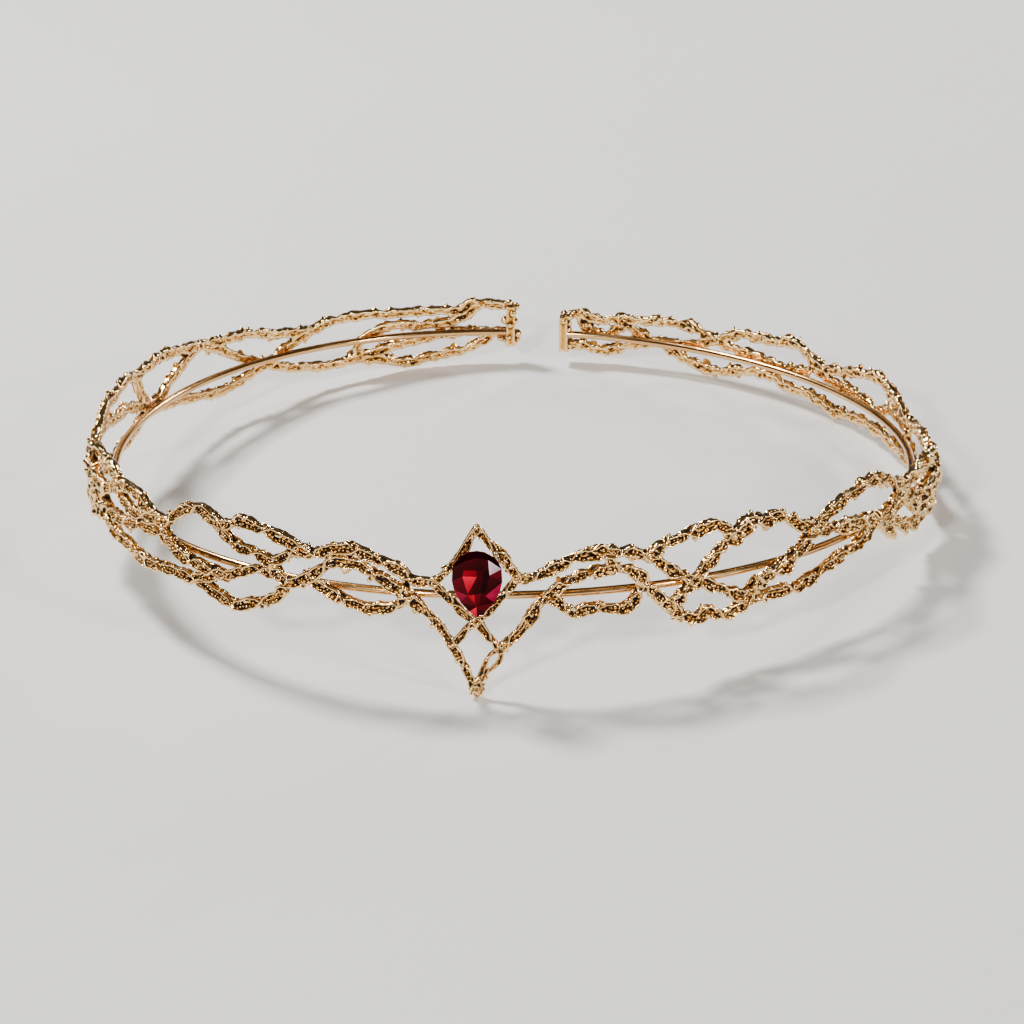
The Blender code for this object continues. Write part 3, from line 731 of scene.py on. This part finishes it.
def within(samples, low, high):
    """The unbroken stretches of a run whose distance from the front is between the two."""
    stretches, current = [], []
    for sample in samples:
        if low <= abs(sample.distance) <= high:
            current.append(sample)
        elif current:
            stretches.append(current)
            current = []
    if current:
        stretches.append(current)
    return [stretch for stretch in stretches if len(stretch) >= FEWEST_SAMPLES]


# How far a bead may stand clear of its twig, as a share of its radius.
BEAD_SHOWS = 0.4


def seated_bead(place, radius, spine):
    """A bead as a grain, moved in on the nearest twig where it would hang clear of it."""
    gap, middle = min(
        (((place - middle).length - half, middle) for middle, half in spine),
        key=lambda pair: pair[0],
    )
    away = (place - middle).normalized()
    return place - away * max(0, gap - radius * BEAD_SHOWS), radius, away


# A pit is as deep as its floor lies under the smoothed surface: the rounds of smoothing,
# and the depth in metres that counts as full. The first finds fine pits, the other wide ones.
PITS = {6: 0.00007, 24: 0.00025}


def hollow_values(mesh):
    """How deep in a recess each corner lies: 0 on a ridge, 1 at the bottom of a pit."""
    count = len(mesh.vertices)
    places = rows_of(mesh.vertices, "co", 3)
    outward = rows_of(mesh.vertex_normals, "vector", 3)
    ends = rows_of(mesh.edges, "vertices", 2, np.int64)
    one = np.concatenate([ends[:, 0], ends[:, 1]])
    other = np.concatenate([ends[:, 1], ends[:, 0]])
    share = np.maximum(np.bincount(one, minlength=count), 1)
    soft = places
    hollow = np.zeros(count)
    for done in range(1, max(PITS) + 1):
        soft = np.stack(
            [np.bincount(one, soft[other, axis], minlength=count) / share for axis in range(3)], 1
        )
        if done in PITS:
            hollow += np.einsum("ij,ij->i", soft - places, outward) / PITS[done]
    return np.clip(0.5 + 0.5 * hollow, 0, 1)


def cast_piece(name, rough, mesh_size, rubbed, node):
    """The rough mesh fused into one soft-edged casting, as wax and its mould leave it.

    `rubbed` is how much lighter the pits are made, from 0 to 1: dark wash that wear has taken off,
    and painted shade with it.
    """
    holder = bpy.data.objects.new(name, rough)
    fuse = holder.modifiers.new("fuse", "REMESH")
    fuse.mode = "VOXEL"
    fuse.voxel_size = mesh_size
    mesh = evaluated(holder)
    # The deeper a corner lies in a pit, the darker it is painted: the dark wash that stays there,
    # and painted shade.
    keep_hollow(mesh, np.maximum(hollow_values(mesh) - rubbed, 0))
    fasten(new_object(name, mesh, antique_gilt), node)


# What a casting is put together from: its fused runs, fine ridges and grains, and the
# middle places of its twigs.
Parts = namedtuple("Parts", "runs ridges grains spine")


def add_twig(parts, samples, luck, ragged, lumpy, rear_pitch):
    """Adds one twig to a casting's parts."""
    fused, fine = twig_runs(samples, luck, ragged)
    parts.runs.extend(fused)
    parts.ridges.extend(fine)
    parts.grains.extend(twig_grains(samples, luck, lumpy, rear_pitch))
    parts.spine.extend((beside(samples, at, 0, 0), here.half) for at, here in enumerate(samples))


def casting(names, parts, mesh_size, node):
    """The three pieces of a casting; grains too large to sit loose are fused into the first."""
    coarse = [grain(*each) for each in parts.grains if each[1] > FUSED_GRAIN]
    cast_piece(names[0], round_runs(names[0], parts.runs + coarse, RUN_SIDES), mesh_size, 0, node)
    ridge_piece(names[1], parts.ridges, node)
    grain_piece(names[2], [each for each in parts.grains if each[1] <= FUSED_GRAIN], node)


# Antique gilt: bright, pale gold where a ridge or grain is rubbed and faces out, orange-brown on
# its flanks, and near black in the pits. The dark wash stays in the recesses, and the darkening on
# the flanks and in the pits is partly painted shade.
antique_gilt, tree, shader = new_material("antique gilt casting")
places = add_node(tree, "ShaderNodeTexCoord").outputs["Object"]
pits = add_node(tree, "ShaderNodeAttribute", attribute_name="hollow")
# cloudy change of tone, about 5 mm across
clouds = noise(tree, places, 200.0, 3.0)
# mould grit, about 0.3 mm across: drawn coarser than the real one so that it shows
grit = noise(tree, places, 3200.0, 4.0)
stir = add_node(
    tree, "ShaderNodeMath", {0: grit, 1: 0.34, 2: -0.17}, operation="MULTIPLY_ADD"
)
wash_and_shade_depth = add_node(
    tree, "ShaderNodeMath",
    {0: pits.outputs["Fac"], 1: stir.outputs["Value"]}, operation="ADD", use_clamp=True,
).outputs["Value"]
# The darker a corner is marked, the browner and then blacker its gold: dark wash, and painted
# shade.
gold_ramp = add_node(tree, "ShaderNodeValToRGB", {"Fac": wash_and_shade_depth})
stops = gold_ramp.color_ramp.elements
stops[0].position = 0.08
stops[0].color = linear("#FFE6AE")
stops[1].position = 0.70
stops[1].color = linear("#0B0502")
for position, colour in ((0.25, "#EFBC64"), (0.42, "#A46C30"), (0.56, "#3C200C")):
    stop = stops.new(position)
    stop.color = linear(colour)
blush = mix(tree, clouds, linear("#FFF0CF"), linear("#F7C98C"))
# the pebbly skin between the grains, about 0.7 mm across
pebbles = add_node(
    tree, "ShaderNodeTexVoronoi", {"Vector": places, "Scale": 1500.0}, feature="SMOOTH_F1"
)
tooth = add_node(tree, "ShaderNodeBump", {"Height": grit, "Distance": 0.00008, "Strength": 0.5})
relief = add_node(
    tree, "ShaderNodeBump",
    {"Height": pebbles.outputs["Distance"], "Distance": 0.00018, "Strength": 0.6,
     "Normal": tooth.outputs["Normal"]},
    invert=True,
)
feed(tree, shader, {
    "Base Color": mix(tree, 0.55, gold_ramp.outputs["Color"], blush, "MULTIPLY"),
    "Metallic": ranged(tree, wash_and_shade_depth, (1.0, 0.5), (0.55, 0.85)),
    "Roughness": ranged(tree, wash_and_shade_depth, (0.10, 0.5), (0.25, 0.6)),
    "Normal": relief.outputs["Normal"],
})


def lattice_rows(side, rows):
    """A twig's stations in metres, on the viewer's right (1) or left (-1)."""
    made = []
    for row in rows:
        station = Station(*row)
        half = TWIG / 2 * station.girth / 100
        distance = LATTICE_START + station.along / 100 * (LATTICE_END - LATTICE_START)
        stand_off = HOOP_WIRE / 2 + SEAM_GAP + half + TWIG * station.proud / 100
        made.append((side * distance, BAND_REACH * station.up / 100, stand_off, half * SPREAD))
    return made


for side, place_name, ragged, twigs, buds, beads in (
    (1, "right", RAGGED, RIGHT_TWIGS, RIGHT_BUDS, RIGHT_BEADS),
    (-1, "left", CALM, LEFT_TWIGS, LEFT_BUDS, LEFT_BEADS),
):
    for part, low, high, mesh_size, rear_pitch in (
        ("front", 0, FRONT_REACH, FRONT_GRAIN_MESH, SPARSE),
        ("back", FRONT_REACH - PARTS_OVERLAP, math.inf, BACK_GRAIN_MESH, DENSE),
    ):
        parts = Parts([], [], [], [])
        for twig, rows in twigs.items():
            luck = random.Random(f"{place_name} {twig}")
            samples = uneven(sampled(lattice_rows(side, rows), SAMPLE_STEP), luck, ragged)
            for stretch in within(samples, low, high):
                add_twig(parts, stretch, luck, ragged, True, rear_pitch)
        for distance, height, stand_off, _ in lattice_rows(side, buds):
            if low <= abs(distance) <= high:
                luck = random.Random(f"{place_name} {distance:.4f}")
                parts.runs.extend(knob_runs(on_band(distance, height, stand_off), luck))
        for distance, height, stand_off, half in lattice_rows(side, beads):
            if (abs(distance) < FRONT_REACH) == (part == "front"):
                bead = seated_bead(on_band(distance, height, stand_off), half, parts.spine)
                parts.grains.append(bead)
        names = [f"{place_name}_{kind}_{part}" for kind in ("twigs", "ridges", "grains")]
        casting(names, parts, mesh_size, f"{place_name}_twig_lattice")

# The centre frame
# A kite of two rising and two falling arms round the stone, and a long V below it, cast in
# one piece in the same alloy and soldered between the two sides of the band.
STONE_HEIGHT = 0.0124
STONE_MIDDLE = 0.0039
KITE_ROOM = 0.0031
KITE_HALF = STONE_HEIGHT / 2 + KITE_ROOM
FRAME_DROP = 0.0180
FRAME_GRAIN_MESH = 0.00016
FRAME_SPREAD = 0.86

# A corner of an arm, in hundredths: its side as a share of FRAME_SIDE, its height as a
# share of the kite's half or of the drop, and its thickness as a share of TWIG.
Corner = namedtuple("Corner", "side up girth", defaults=(100,))

KITE_ARMS = (
    ((7, 100), (-17, 60), (-32, 38, 95), (-49, 18), (-64, 2), (-80, -10)),
    ((7, 100), (32, 70), (54, 51, 125), (65, 33, 120), (77, 17, 115), (86, 0, 110)),
    ((86, 0), (64, -27), (45, -48), (27, -70), (5, -87)),
    ((-80, -10), (-55, -35), (-34, -57), (-14, -76), (5, -87)),
    ((-80, -10), (-100, -9)),
    ((86, 0), (100, 0)),
)
KITE_BUD = (-56, 20)
DROP_ARMS = (
    ((2, -24), (-20, -36), (-42, -48)),
    ((9, -24), (25, -37), (48, -51)),
    ((-100, -12), (-86, -19), (-61, -33), (-43, -49, 110), (-27, -63), (-11, -80), (7, -100)),
    ((100, -27.5, 120), (98, -29, 120), (73, -43, 120), (50, -53)),
    ((50, -53, 80), (36, -58, 60), (24, -66, 60), (16, -76, 60), (11, -84, 90), (7, -97, 130)),
    ((52, -55, 70), (53, -62, 60), (42, -71, 60), (22, -80, 70), (9, -88, 100), (3, -98, 110)),
)
# Grains that stand out on the frame: side and height in millimetres, stand-off in halves of
# a twig, and radius in millimetres.
FRAME_GRAINS = (
    (-3.9, -8.6, 1.5, 0.62), (-2.9, -11.9, 1.0, 0.55), (0.0, -3.6, 1.6, 0.50),
    (0.7, -4.4, 1.6, 0.52), (3.2, -2.2, 1.5, 0.52), (-4.0, -0.7, 1.5, 0.52),
    (0.1, 12.0, 1.4, 0.45), (-4.6, 6.0, 1.3, 0.45), (-5.4, 5.9, 1.2, 0.42), (-5.1, 5.1, 1.3, 0.45),
    (4.6, 9.6, 1.3, 0.45), (5.4, 9.2, 1.2, 0.38), (4.9, 8.4, 1.4, 0.45), (5.9, 8.2, 1.3, 0.42),
    (5.4, 7.4, 1.5, 0.48), (6.4, 7.4, 1.2, 0.40), (4.6, 7.2, 1.3, 0.38), (5.3, 6.3, 1.4, 0.45),
    (6.4, 6.2, 1.4, 0.50), (7.2, 5.9, 1.2, 0.42), (5.6, 5.4, 1.3, 0.38), (6.6, 5.0, 1.4, 0.45),
    (7.8, 5.0, 1.3, 0.50), (8.4, 4.3, 1.2, 0.42), (7.4, 4.0, 1.4, 0.42),
    (5.5, -9.4, 1.3, 0.62), (5.9, -9.9, 1.1, 0.40), (-7.3, -5.4, 1.4, 0.55),
    (-5.7, -6.2, 1.5, 0.50), (-6.0, -5.8, 1.5, 0.42), (7.2, -7.7, 1.4, 0.55),
    (8.2, -6.8, 1.3, 0.45), (6.4, -8.6, 1.4, 0.42), (0.3, -16.4, 1.5, 0.48),
    (0.7, -17.6, 1.3, 0.66), (-0.5, -17.0, 1.3, 0.55), (1.5, -17.2, 1.2, 0.52),
    (2.1, -14.9, 1.2, 0.50), (1.6, -16.2, 1.3, 0.45), (-0.2, -15.6, 1.3, 0.42),
)

# The smooth ridge over the kite's peak: side and height in millimetres.
KITE_CREST = (
    (-3.17, 7.73), (-1.84, 10.22), (-0.52, 12.6), (0.37, 13.8), (1.25, 13.6), (2.02, 12.6),
    (2.79, 10.8), (3.35, 9.15), (3.94, 7.38),
)
CREST_STAND = 1.5
CREST_HALF = 0.00024


def frame_rows(rows, height_of):
    """An arm's corners in metres."""
    made = []
    for row in rows:
        corner = Corner(*row)
        half = TWIG / 2 * corner.girth / 100
        made.append((
            FRAME_SIDE * corner.side / 100, height_of(corner.up / 100),
            HOOP_WIRE / 2 + SEAM_GAP + half, half * FRAME_SPREAD,
        ))
    return made


def kite_height(up):
    return STONE_MIDDLE + KITE_HALF * up


def drop_height(up):
    return FRAME_DROP * up


parts = Parts([], [], [], [])
for table, height_of in ((KITE_ARMS, kite_height), (DROP_ARMS, drop_height)):
    for number, rows in enumerate(table):
        luck = random.Random(f"{height_of.__name__} {number}")
        samples = uneven(sampled(frame_rows(rows, height_of), SAMPLE_STEP), luck, CALM)
        add_twig(parts, samples, luck, CALM, False, SPARSE)
for side_mm, height_mm, stand, radius_mm in FRAME_GRAINS:
    place = on_band(side_mm / 1000, height_mm / 1000, HOOP_WIRE / 2 + SEAM_GAP + TWIG / 2 * stand)
    parts.grains.append(seated_bead(place, radius_mm / 1000, parts.spine))
bud = frame_rows([KITE_BUD], kite_height)[0]
parts.runs.extend(knob_runs(on_band(*bud[:3]), random.Random("kite")))
crest_stand_off = HOOP_WIRE / 2 + SEAM_GAP + TWIG / 2 * CREST_STAND
crest = sampled(
    [(x / 1000, y / 1000, crest_stand_off, CREST_HALF) for x, y in KITE_CREST], SAMPLE_STEP
)
parts.ridges.append([(on_band(*here[:3]), here.half) for here in crest])
names = ["centre_frame_" + kind for kind in ("casting", "ridges", "grains")]
casting(names, parts, FRAME_GRAIN_MESH, "centre_frame")

# The red stone
# A pear-cut glass stone with a large table, red all through. Such stones are foiled behind, so
# that their back facets throw the light forward; here that light is painted on the facets as
# their colour, and no foil is made.
STONE_WIDTH = 0.0090
STONE_SIDE = 0.0008
GIRDLE = 0.0003
CROWN = 0.0013
PAVILION_ANGLE = math.radians(37)
KEEL_CLEARANCE = 0.0004
OUTLINE_STEPS = 64
# The pear is a half circle above its widest place, which lies WIDEST above its middle, and
# an arc of radius SWEEP down each side of it to the tip.
STONE_HALF = STONE_WIDTH / 2
STONE_DOWN = STONE_HEIGHT - STONE_HALF
WIDEST = STONE_HEIGHT / 2 - STONE_HALF
SWEEP = (STONE_HALF * STONE_HALF + STONE_DOWN * STONE_DOWN) / (2 * STONE_HALF)
GIRDLE_PROUD = HOOP_WIRE / 2 + KEEL_CLEARANCE + STONE_HALF * math.tan(PAVILION_ANGLE)


def pear_outline(inset):
    """Points round the stone, anticlockwise from its right side, `inset` inside its edge."""
    radius = STONE_HALF - inset
    side = SWEEP - inset
    past = SWEEP - STONE_HALF
    tip_turn = math.acos(past / side)
    points = []
    for step in range(OUTLINE_STEPS // 2):
        turn = 2 * math.pi * step / OUTLINE_STEPS
        points.append((radius * math.cos(turn), WIDEST + radius * math.sin(turn)))
    for step in range(OUTLINE_STEPS // 4):
        turn = 4 * tip_turn * step / OUTLINE_STEPS
        points.append((past - side * math.cos(turn), WIDEST - side * math.sin(turn)))
    for step in range(OUTLINE_STEPS // 4):
        turn = tip_turn * (1 - 4 * step / OUTLINE_STEPS)
        points.append((side * math.cos(turn) - past, WIDEST - side * math.sin(turn)))
    return points


def seated():
    """Puts a shape drawn flat, with +Z towards the viewer, upright at the stone's place."""
    angle = STONE_SIDE / HOOP_RADIUS - math.pi / 2
    outward = Vector((math.cos(angle), math.sin(angle), 0))
    up = Vector((0, 0, 1))
    turn = Matrix((up.cross(outward), up, outward)).transposed().to_4x4()
    middle = RESTING.inverted() @ on_band(STONE_SIDE, STONE_MIDDLE, GIRDLE_PROUD)
    return RESTING @ Matrix.Translation(middle) @ turn


# Red glass: polished and deeply coloured. Each facet is painted its own depth of red, for the
# light that a foil behind would throw back through more or less glass: painted reflections,
# and painted shade on the dark facets.
red_glass, tree, shader = new_material("red glass")
facet_painted_red = add_node(tree, "ShaderNodeAttribute", attribute_name="facet_painted_red")
places = add_node(tree, "ShaderNodeTexCoord").outputs["Object"]
# faint swirls in the glass, about 1.5 mm across
swirl = ranged(tree, noise(tree, places, 700.0, 3.0), (0.55, 1.15))
feed(tree, shader, {
    "Base Color": mix(tree, 1.0, facet_painted_red.outputs["Color"], swirl, "MULTIPLY"),
    "Roughness": 0.03,
    "IOR": 1.55,
    "Specular IOR Level": 0.03,
})

# The table's corners, in hundredths of half the stone's width and height, and the corners
# of the girdle as steps of OUTLINE_STEPS round it. The crown's facets join the two.
TABLE_CORNERS = (
    (51, 37), (46, 82), (0, 88), (-44, 78), (-54, 31), (-34, -26), (0, -60), (34, -26),
)
GIRDLE_STEPS = (3, 6, 9, 13, 16, 19, 23, 26, 29, 34, 37, 41, 45, 48, 51, 55, 59, 62)
KEEL_STEPS = 5
# How far a facet's normal points forward: the table's, and the least of any in front.
LEVEL = 0.999
FORWARD = 0.05
# Each edge of the facets behind, as its reflection shows through the table, cut into the table
# so that each patch takes its own painted reflection: a point on it, the way it runs, and the
# heights it stays between, in millimetres from the stone's middle.
BACK_EDGES = (
    ((0, 3.1), (1, 0), (-6, 6)), ((0, 1.95), (1, 0), (-6, 6)),
    ((0.1, 1.95), (1.55, 3.3), (-1.3, 1.95)),
    ((-2.7, 1.95), (-1.25, 3.3), (-1.3, 1.95)), ((0.9, 0), (0.12, 1), (-1.3, 6)),
    ((0, -1.3), (1, 0.2), (-6, 6)), ((-0.75, -1.9), (0.2, 1.9), (-6, -1.3)),
    ((-0.3, -1.9), (-0.2, 1.9), (-6, -1.3)), ((0.05, 2.5), (-0.15, 1), (1.95, 3.1)),
)
# Painted depths of red: the glass's own red with the foil's light painted in, from painted shade
# to bright painted reflections and a pale painted glint; and the places on the stone that have
# each, in millimetres from its middle.
PAINTED_REDS = {
    "night": "#1A0003", "deep": "#360105", "wine": "#560310", "ember": "#800218",
    "lit": "#A2031D", "flash": "#E00230", "rose": "#960C34", "glint": "#F6CDD8",
}
TONES = (
    ("flash", -1.35, 0.8), ("ember", -1.2, 2.5), ("deep", -1.5, 3.7), ("deep", 0.3, 3.5),
    ("deep", 1.6, 3.4), ("deep", 0.3, 2.5), ("night", 1.5, 2.5), ("night", 1.6, 1.0),
    ("deep", 0.1, 0.4), ("deep", -0.3, -0.8), ("wine", 0.2, -2.5), ("lit", -0.5, -2.2),
    ("night", 0.0, 5.6), ("night", -2.6, 4.6), ("night", 3.1, 4.1), ("night", 2.2, 5.2),
    ("glint", 2.66, 3.3), ("deep", -2.6, 3.0), ("deep", -3.5, 1.6), ("wine", 3.4, 2.0),
    ("deep", 2.7, 0.4), ("wine", -2.2, -0.4), ("rose", -2.7, -1.9), ("rose", 2.7, -1.9),
    ("wine", -1.1, -2.8), ("deep", 1.2, -2.8), ("deep", -1.4, -4.0), ("wine", 1.4, -4.0),
    ("flash", -0.45, -5.0), ("deep", 0.45, -5.0),
)

# Painted light: each facet is painted brighter towards its upper left, where the light comes
# from, by these shares for each millimetre, and stays between the dimmest and the brightest.
PAINTED_LIGHT_ACROSS = 0.24
PAINTED_LIGHT_DOWN = 0.32
DIMMEST = 0.35
BRIGHTEST = 1.3

outline = pear_outline(0)
shape = bmesh.new()
for x, y in TABLE_CORNERS:
    shape.verts.new((STONE_HALF * x / 100, STONE_HEIGHT / 2 * y / 100, GIRDLE + CROWN))
for step in GIRDLE_STEPS:
    for height in (0, GIRDLE):
        shape.verts.new((*outline[step], height))
for step in range(KEEL_STEPS):
    down = step / KEEL_STEPS * STONE_DOWN
    room = SWEEP - math.hypot(SWEEP - STONE_HALF, down)
    shape.verts.new((0, WIDEST - down, -room * math.tan(PAVILION_ANGLE)))
bmesh.ops.convex_hull(shape, input=shape.verts[:])
bmesh.ops.dissolve_limit(
    shape, angle_limit=math.radians(1), verts=shape.verts[:], edges=shape.edges[:]
)
for (x, y), (run_x, run_y), (low, high) in BACK_EDGES:
    table = [
        face for face in shape.faces
        if face.normal.z > LEVEL and low < face.calc_center_median().y * 1000 < high
    ]
    bound = {edge for face in table for edge in face.edges}
    corners = {corner for face in table for corner in face.verts}
    bmesh.ops.bisect_plane(
        shape, geom=table + list(bound) + list(corners), dist=1e-7,
        plane_co=(x / 1000, y / 1000, 0), plane_no=(run_y, -run_x, 0),
    )
bmesh.ops.recalc_face_normals(shape, faces=shape.faces[:])
red_layer = shape.loops.layers.float_color.new("facet_painted_red")
# Each facet is painted the tone of the nearest listed place: its red with painted reflection or
# painted shade in it.
for face in shape.faces:
    middle = face.calc_center_median() * 1000
    tone = min(TONES, key=lambda row: math.hypot(row[1] - middle.x, row[2] - middle.y))[0]
    red = Vector(linear(PAINTED_REDS[tone if face.normal.z > FORWARD else "wine"])[:3])
    for loop in face.loops:
        off = loop.vert.co * 1000 - middle
        light = 1 - PAINTED_LIGHT_ACROSS * off.x + PAINTED_LIGHT_DOWN * off.y
        loop[red_layer] = (*red * min(max(light, DIMMEST), BRIGHTEST), 1)
bmesh.ops.transform(shape, matrix=seated(), verts=shape.verts[:])
cut_stone = new_object("cut_red_stone", mesh_of(shape, "cut_red_stone"), red_glass)
cut_stone.data.shade_flat()
fasten(cut_stone, "red_stone")

# The collet
# A narrow pear-shaped cup of gilt sheet, soldered inside the kite. The stone's back is
# glued into it, so that nothing shows round the stone from the front.
COLLET_INSET = 0.0016
COLLET_WALL = 0.0008
COLLET_DEPTH = 0.0030
COLLET_CLEARANCE = 0.0004
COLLET_EDGE = 0.0001
RIM_ANGLE = math.radians(35)

shape = bmesh.new()
loops = []
inner = COLLET_INSET + COLLET_WALL
slack = COLLET_CLEARANCE / math.cos(PAVILION_ANGLE)
for inset, depth in (
    (COLLET_INSET, COLLET_INSET * math.tan(PAVILION_ANGLE) + slack),
    (COLLET_INSET, COLLET_DEPTH),
    (inner, COLLET_DEPTH),
    (inner, inner * math.tan(PAVILION_ANGLE) + slack),
):
    ring = [shape.verts.new((x, y, -depth)) for x, y in pear_outline(inset)]
    loops.append([shape.edges.new(pair) for pair in zip(ring, ring[1:] + ring[:1])])
for first, second in zip(loops, loops[1:] + loops[:1]):
    bmesh.ops.bridge_loops(shape, edges=first + second)
bmesh.ops.recalc_face_normals(shape, faces=shape.faces[:])
rims = [edge for edge in shape.edges if edge.calc_face_angle(0) > RIM_ANGLE]
bmesh.ops.bevel(
    shape, geom=rims, offset=COLLET_EDGE, segments=2, profile=0.5, affect="EDGES", material=-1
)
bmesh.ops.transform(shape, matrix=seated(), verts=shape.verts[:])
collet = new_object("stone_collet", mesh_of(shape, "stone_collet"), wire_gilt)
fasten(collet, "stone_setting")

# The end bars
# A short upright bar closes each end of the band, with the rails and the hoop soldered to
# its inner side. Cast knobs stand on its edges, the largest at its top.
BAR_DEEP = 0.0036
BAR_EDGE = 0.0003
BAR_GRAIN_MESH = 0.00013
BAR_RUBBED = 0.17
RIGHT_BAR_TALL = 0.0080
LEFT_BAR_TALL = 0.0092
LEFT_BAR_LIFT = 0.0014

# The knobs of each bar, in millimetres: how far right of the bar's middle and above it, how
# far out from the hoop's middle, and their radius.
RIGHT_KNOBS = (
    (0.0, 4.3, 1.0, 0.85), (1.4, 4.1, 0.1, 1.00), (1.1, 0.9, 0.3, 0.80), (1.2, -2.6, 0.4, 0.85),
    (-0.3, -3.7, 1.6, 0.70), (1.1, 2.3, 0.4, 0.75), (0.5, -3.6, 0.2, 0.80), (0.1, 2.9, -0.3, 0.70),
)
LEFT_KNOBS = (
    (-0.2, 4.9, 0.9, 0.90), (1.2, 4.3, 0.6, 0.90), (-1.3, 1.3, 0.1, 0.90),
    (-0.4, -2.5, -0.1, 0.85), (1.5, -1.9, 0.5, 1.00), (0.5, -3.8, 0.4, 0.95),
    (-1.1, -3.2, 0.3, 0.80), (-2.2, -2.9, 0.3, 0.80), (0.5, 2.9, -0.2, 0.85),
    (0.9, 1.2, 0.0, 0.85), (-0.1, 0.3, -0.4, 0.75), (1.4, -3.2, 0.8, 0.80),
)

for name, side, tall, lift, knobs in (
    ("right_end_bar", 1, RIGHT_BAR_TALL, 0, RIGHT_KNOBS),
    ("left_end_bar", -1, LEFT_BAR_TALL, LEFT_BAR_LIFT, LEFT_KNOBS),
):
    distance = side * (BAR_FACE - BAR_WIDE / 2)
    middle = RESTING.inverted() @ on_band(distance, lift, BAR_DEEP / 2 - HOOP_WIRE / 2)
    turn = Matrix.Rotation(distance / HOOP_RADIUS - math.pi / 2, 4, "Z")
    size = Matrix.Diagonal((BAR_DEEP, BAR_WIDE, tall, 1))
    shape = bmesh.new()
    bmesh.ops.create_cube(shape, size=1, matrix=RESTING @ Matrix.Translation(middle) @ turn @ size)
    bmesh.ops.bevel(
        shape, geom=shape.edges[:], offset=BAR_EDGE, segments=3, profile=0.5, affect="EDGES",
        material=-1,
    )
    for across_mm, up_mm, out_mm, radius_mm in knobs:
        place = on_band(distance - across_mm / 1000, lift + up_mm / 1000, out_mm / 1000)
        bmesh.ops.create_icosphere(
            shape, subdivisions=3, radius=radius_mm / 1000, matrix=Matrix.Translation(place)
        )
    cast_piece(name + "_casting", mesh_of(shape, name), BAR_GRAIN_MESH, BAR_RUBBED, name)
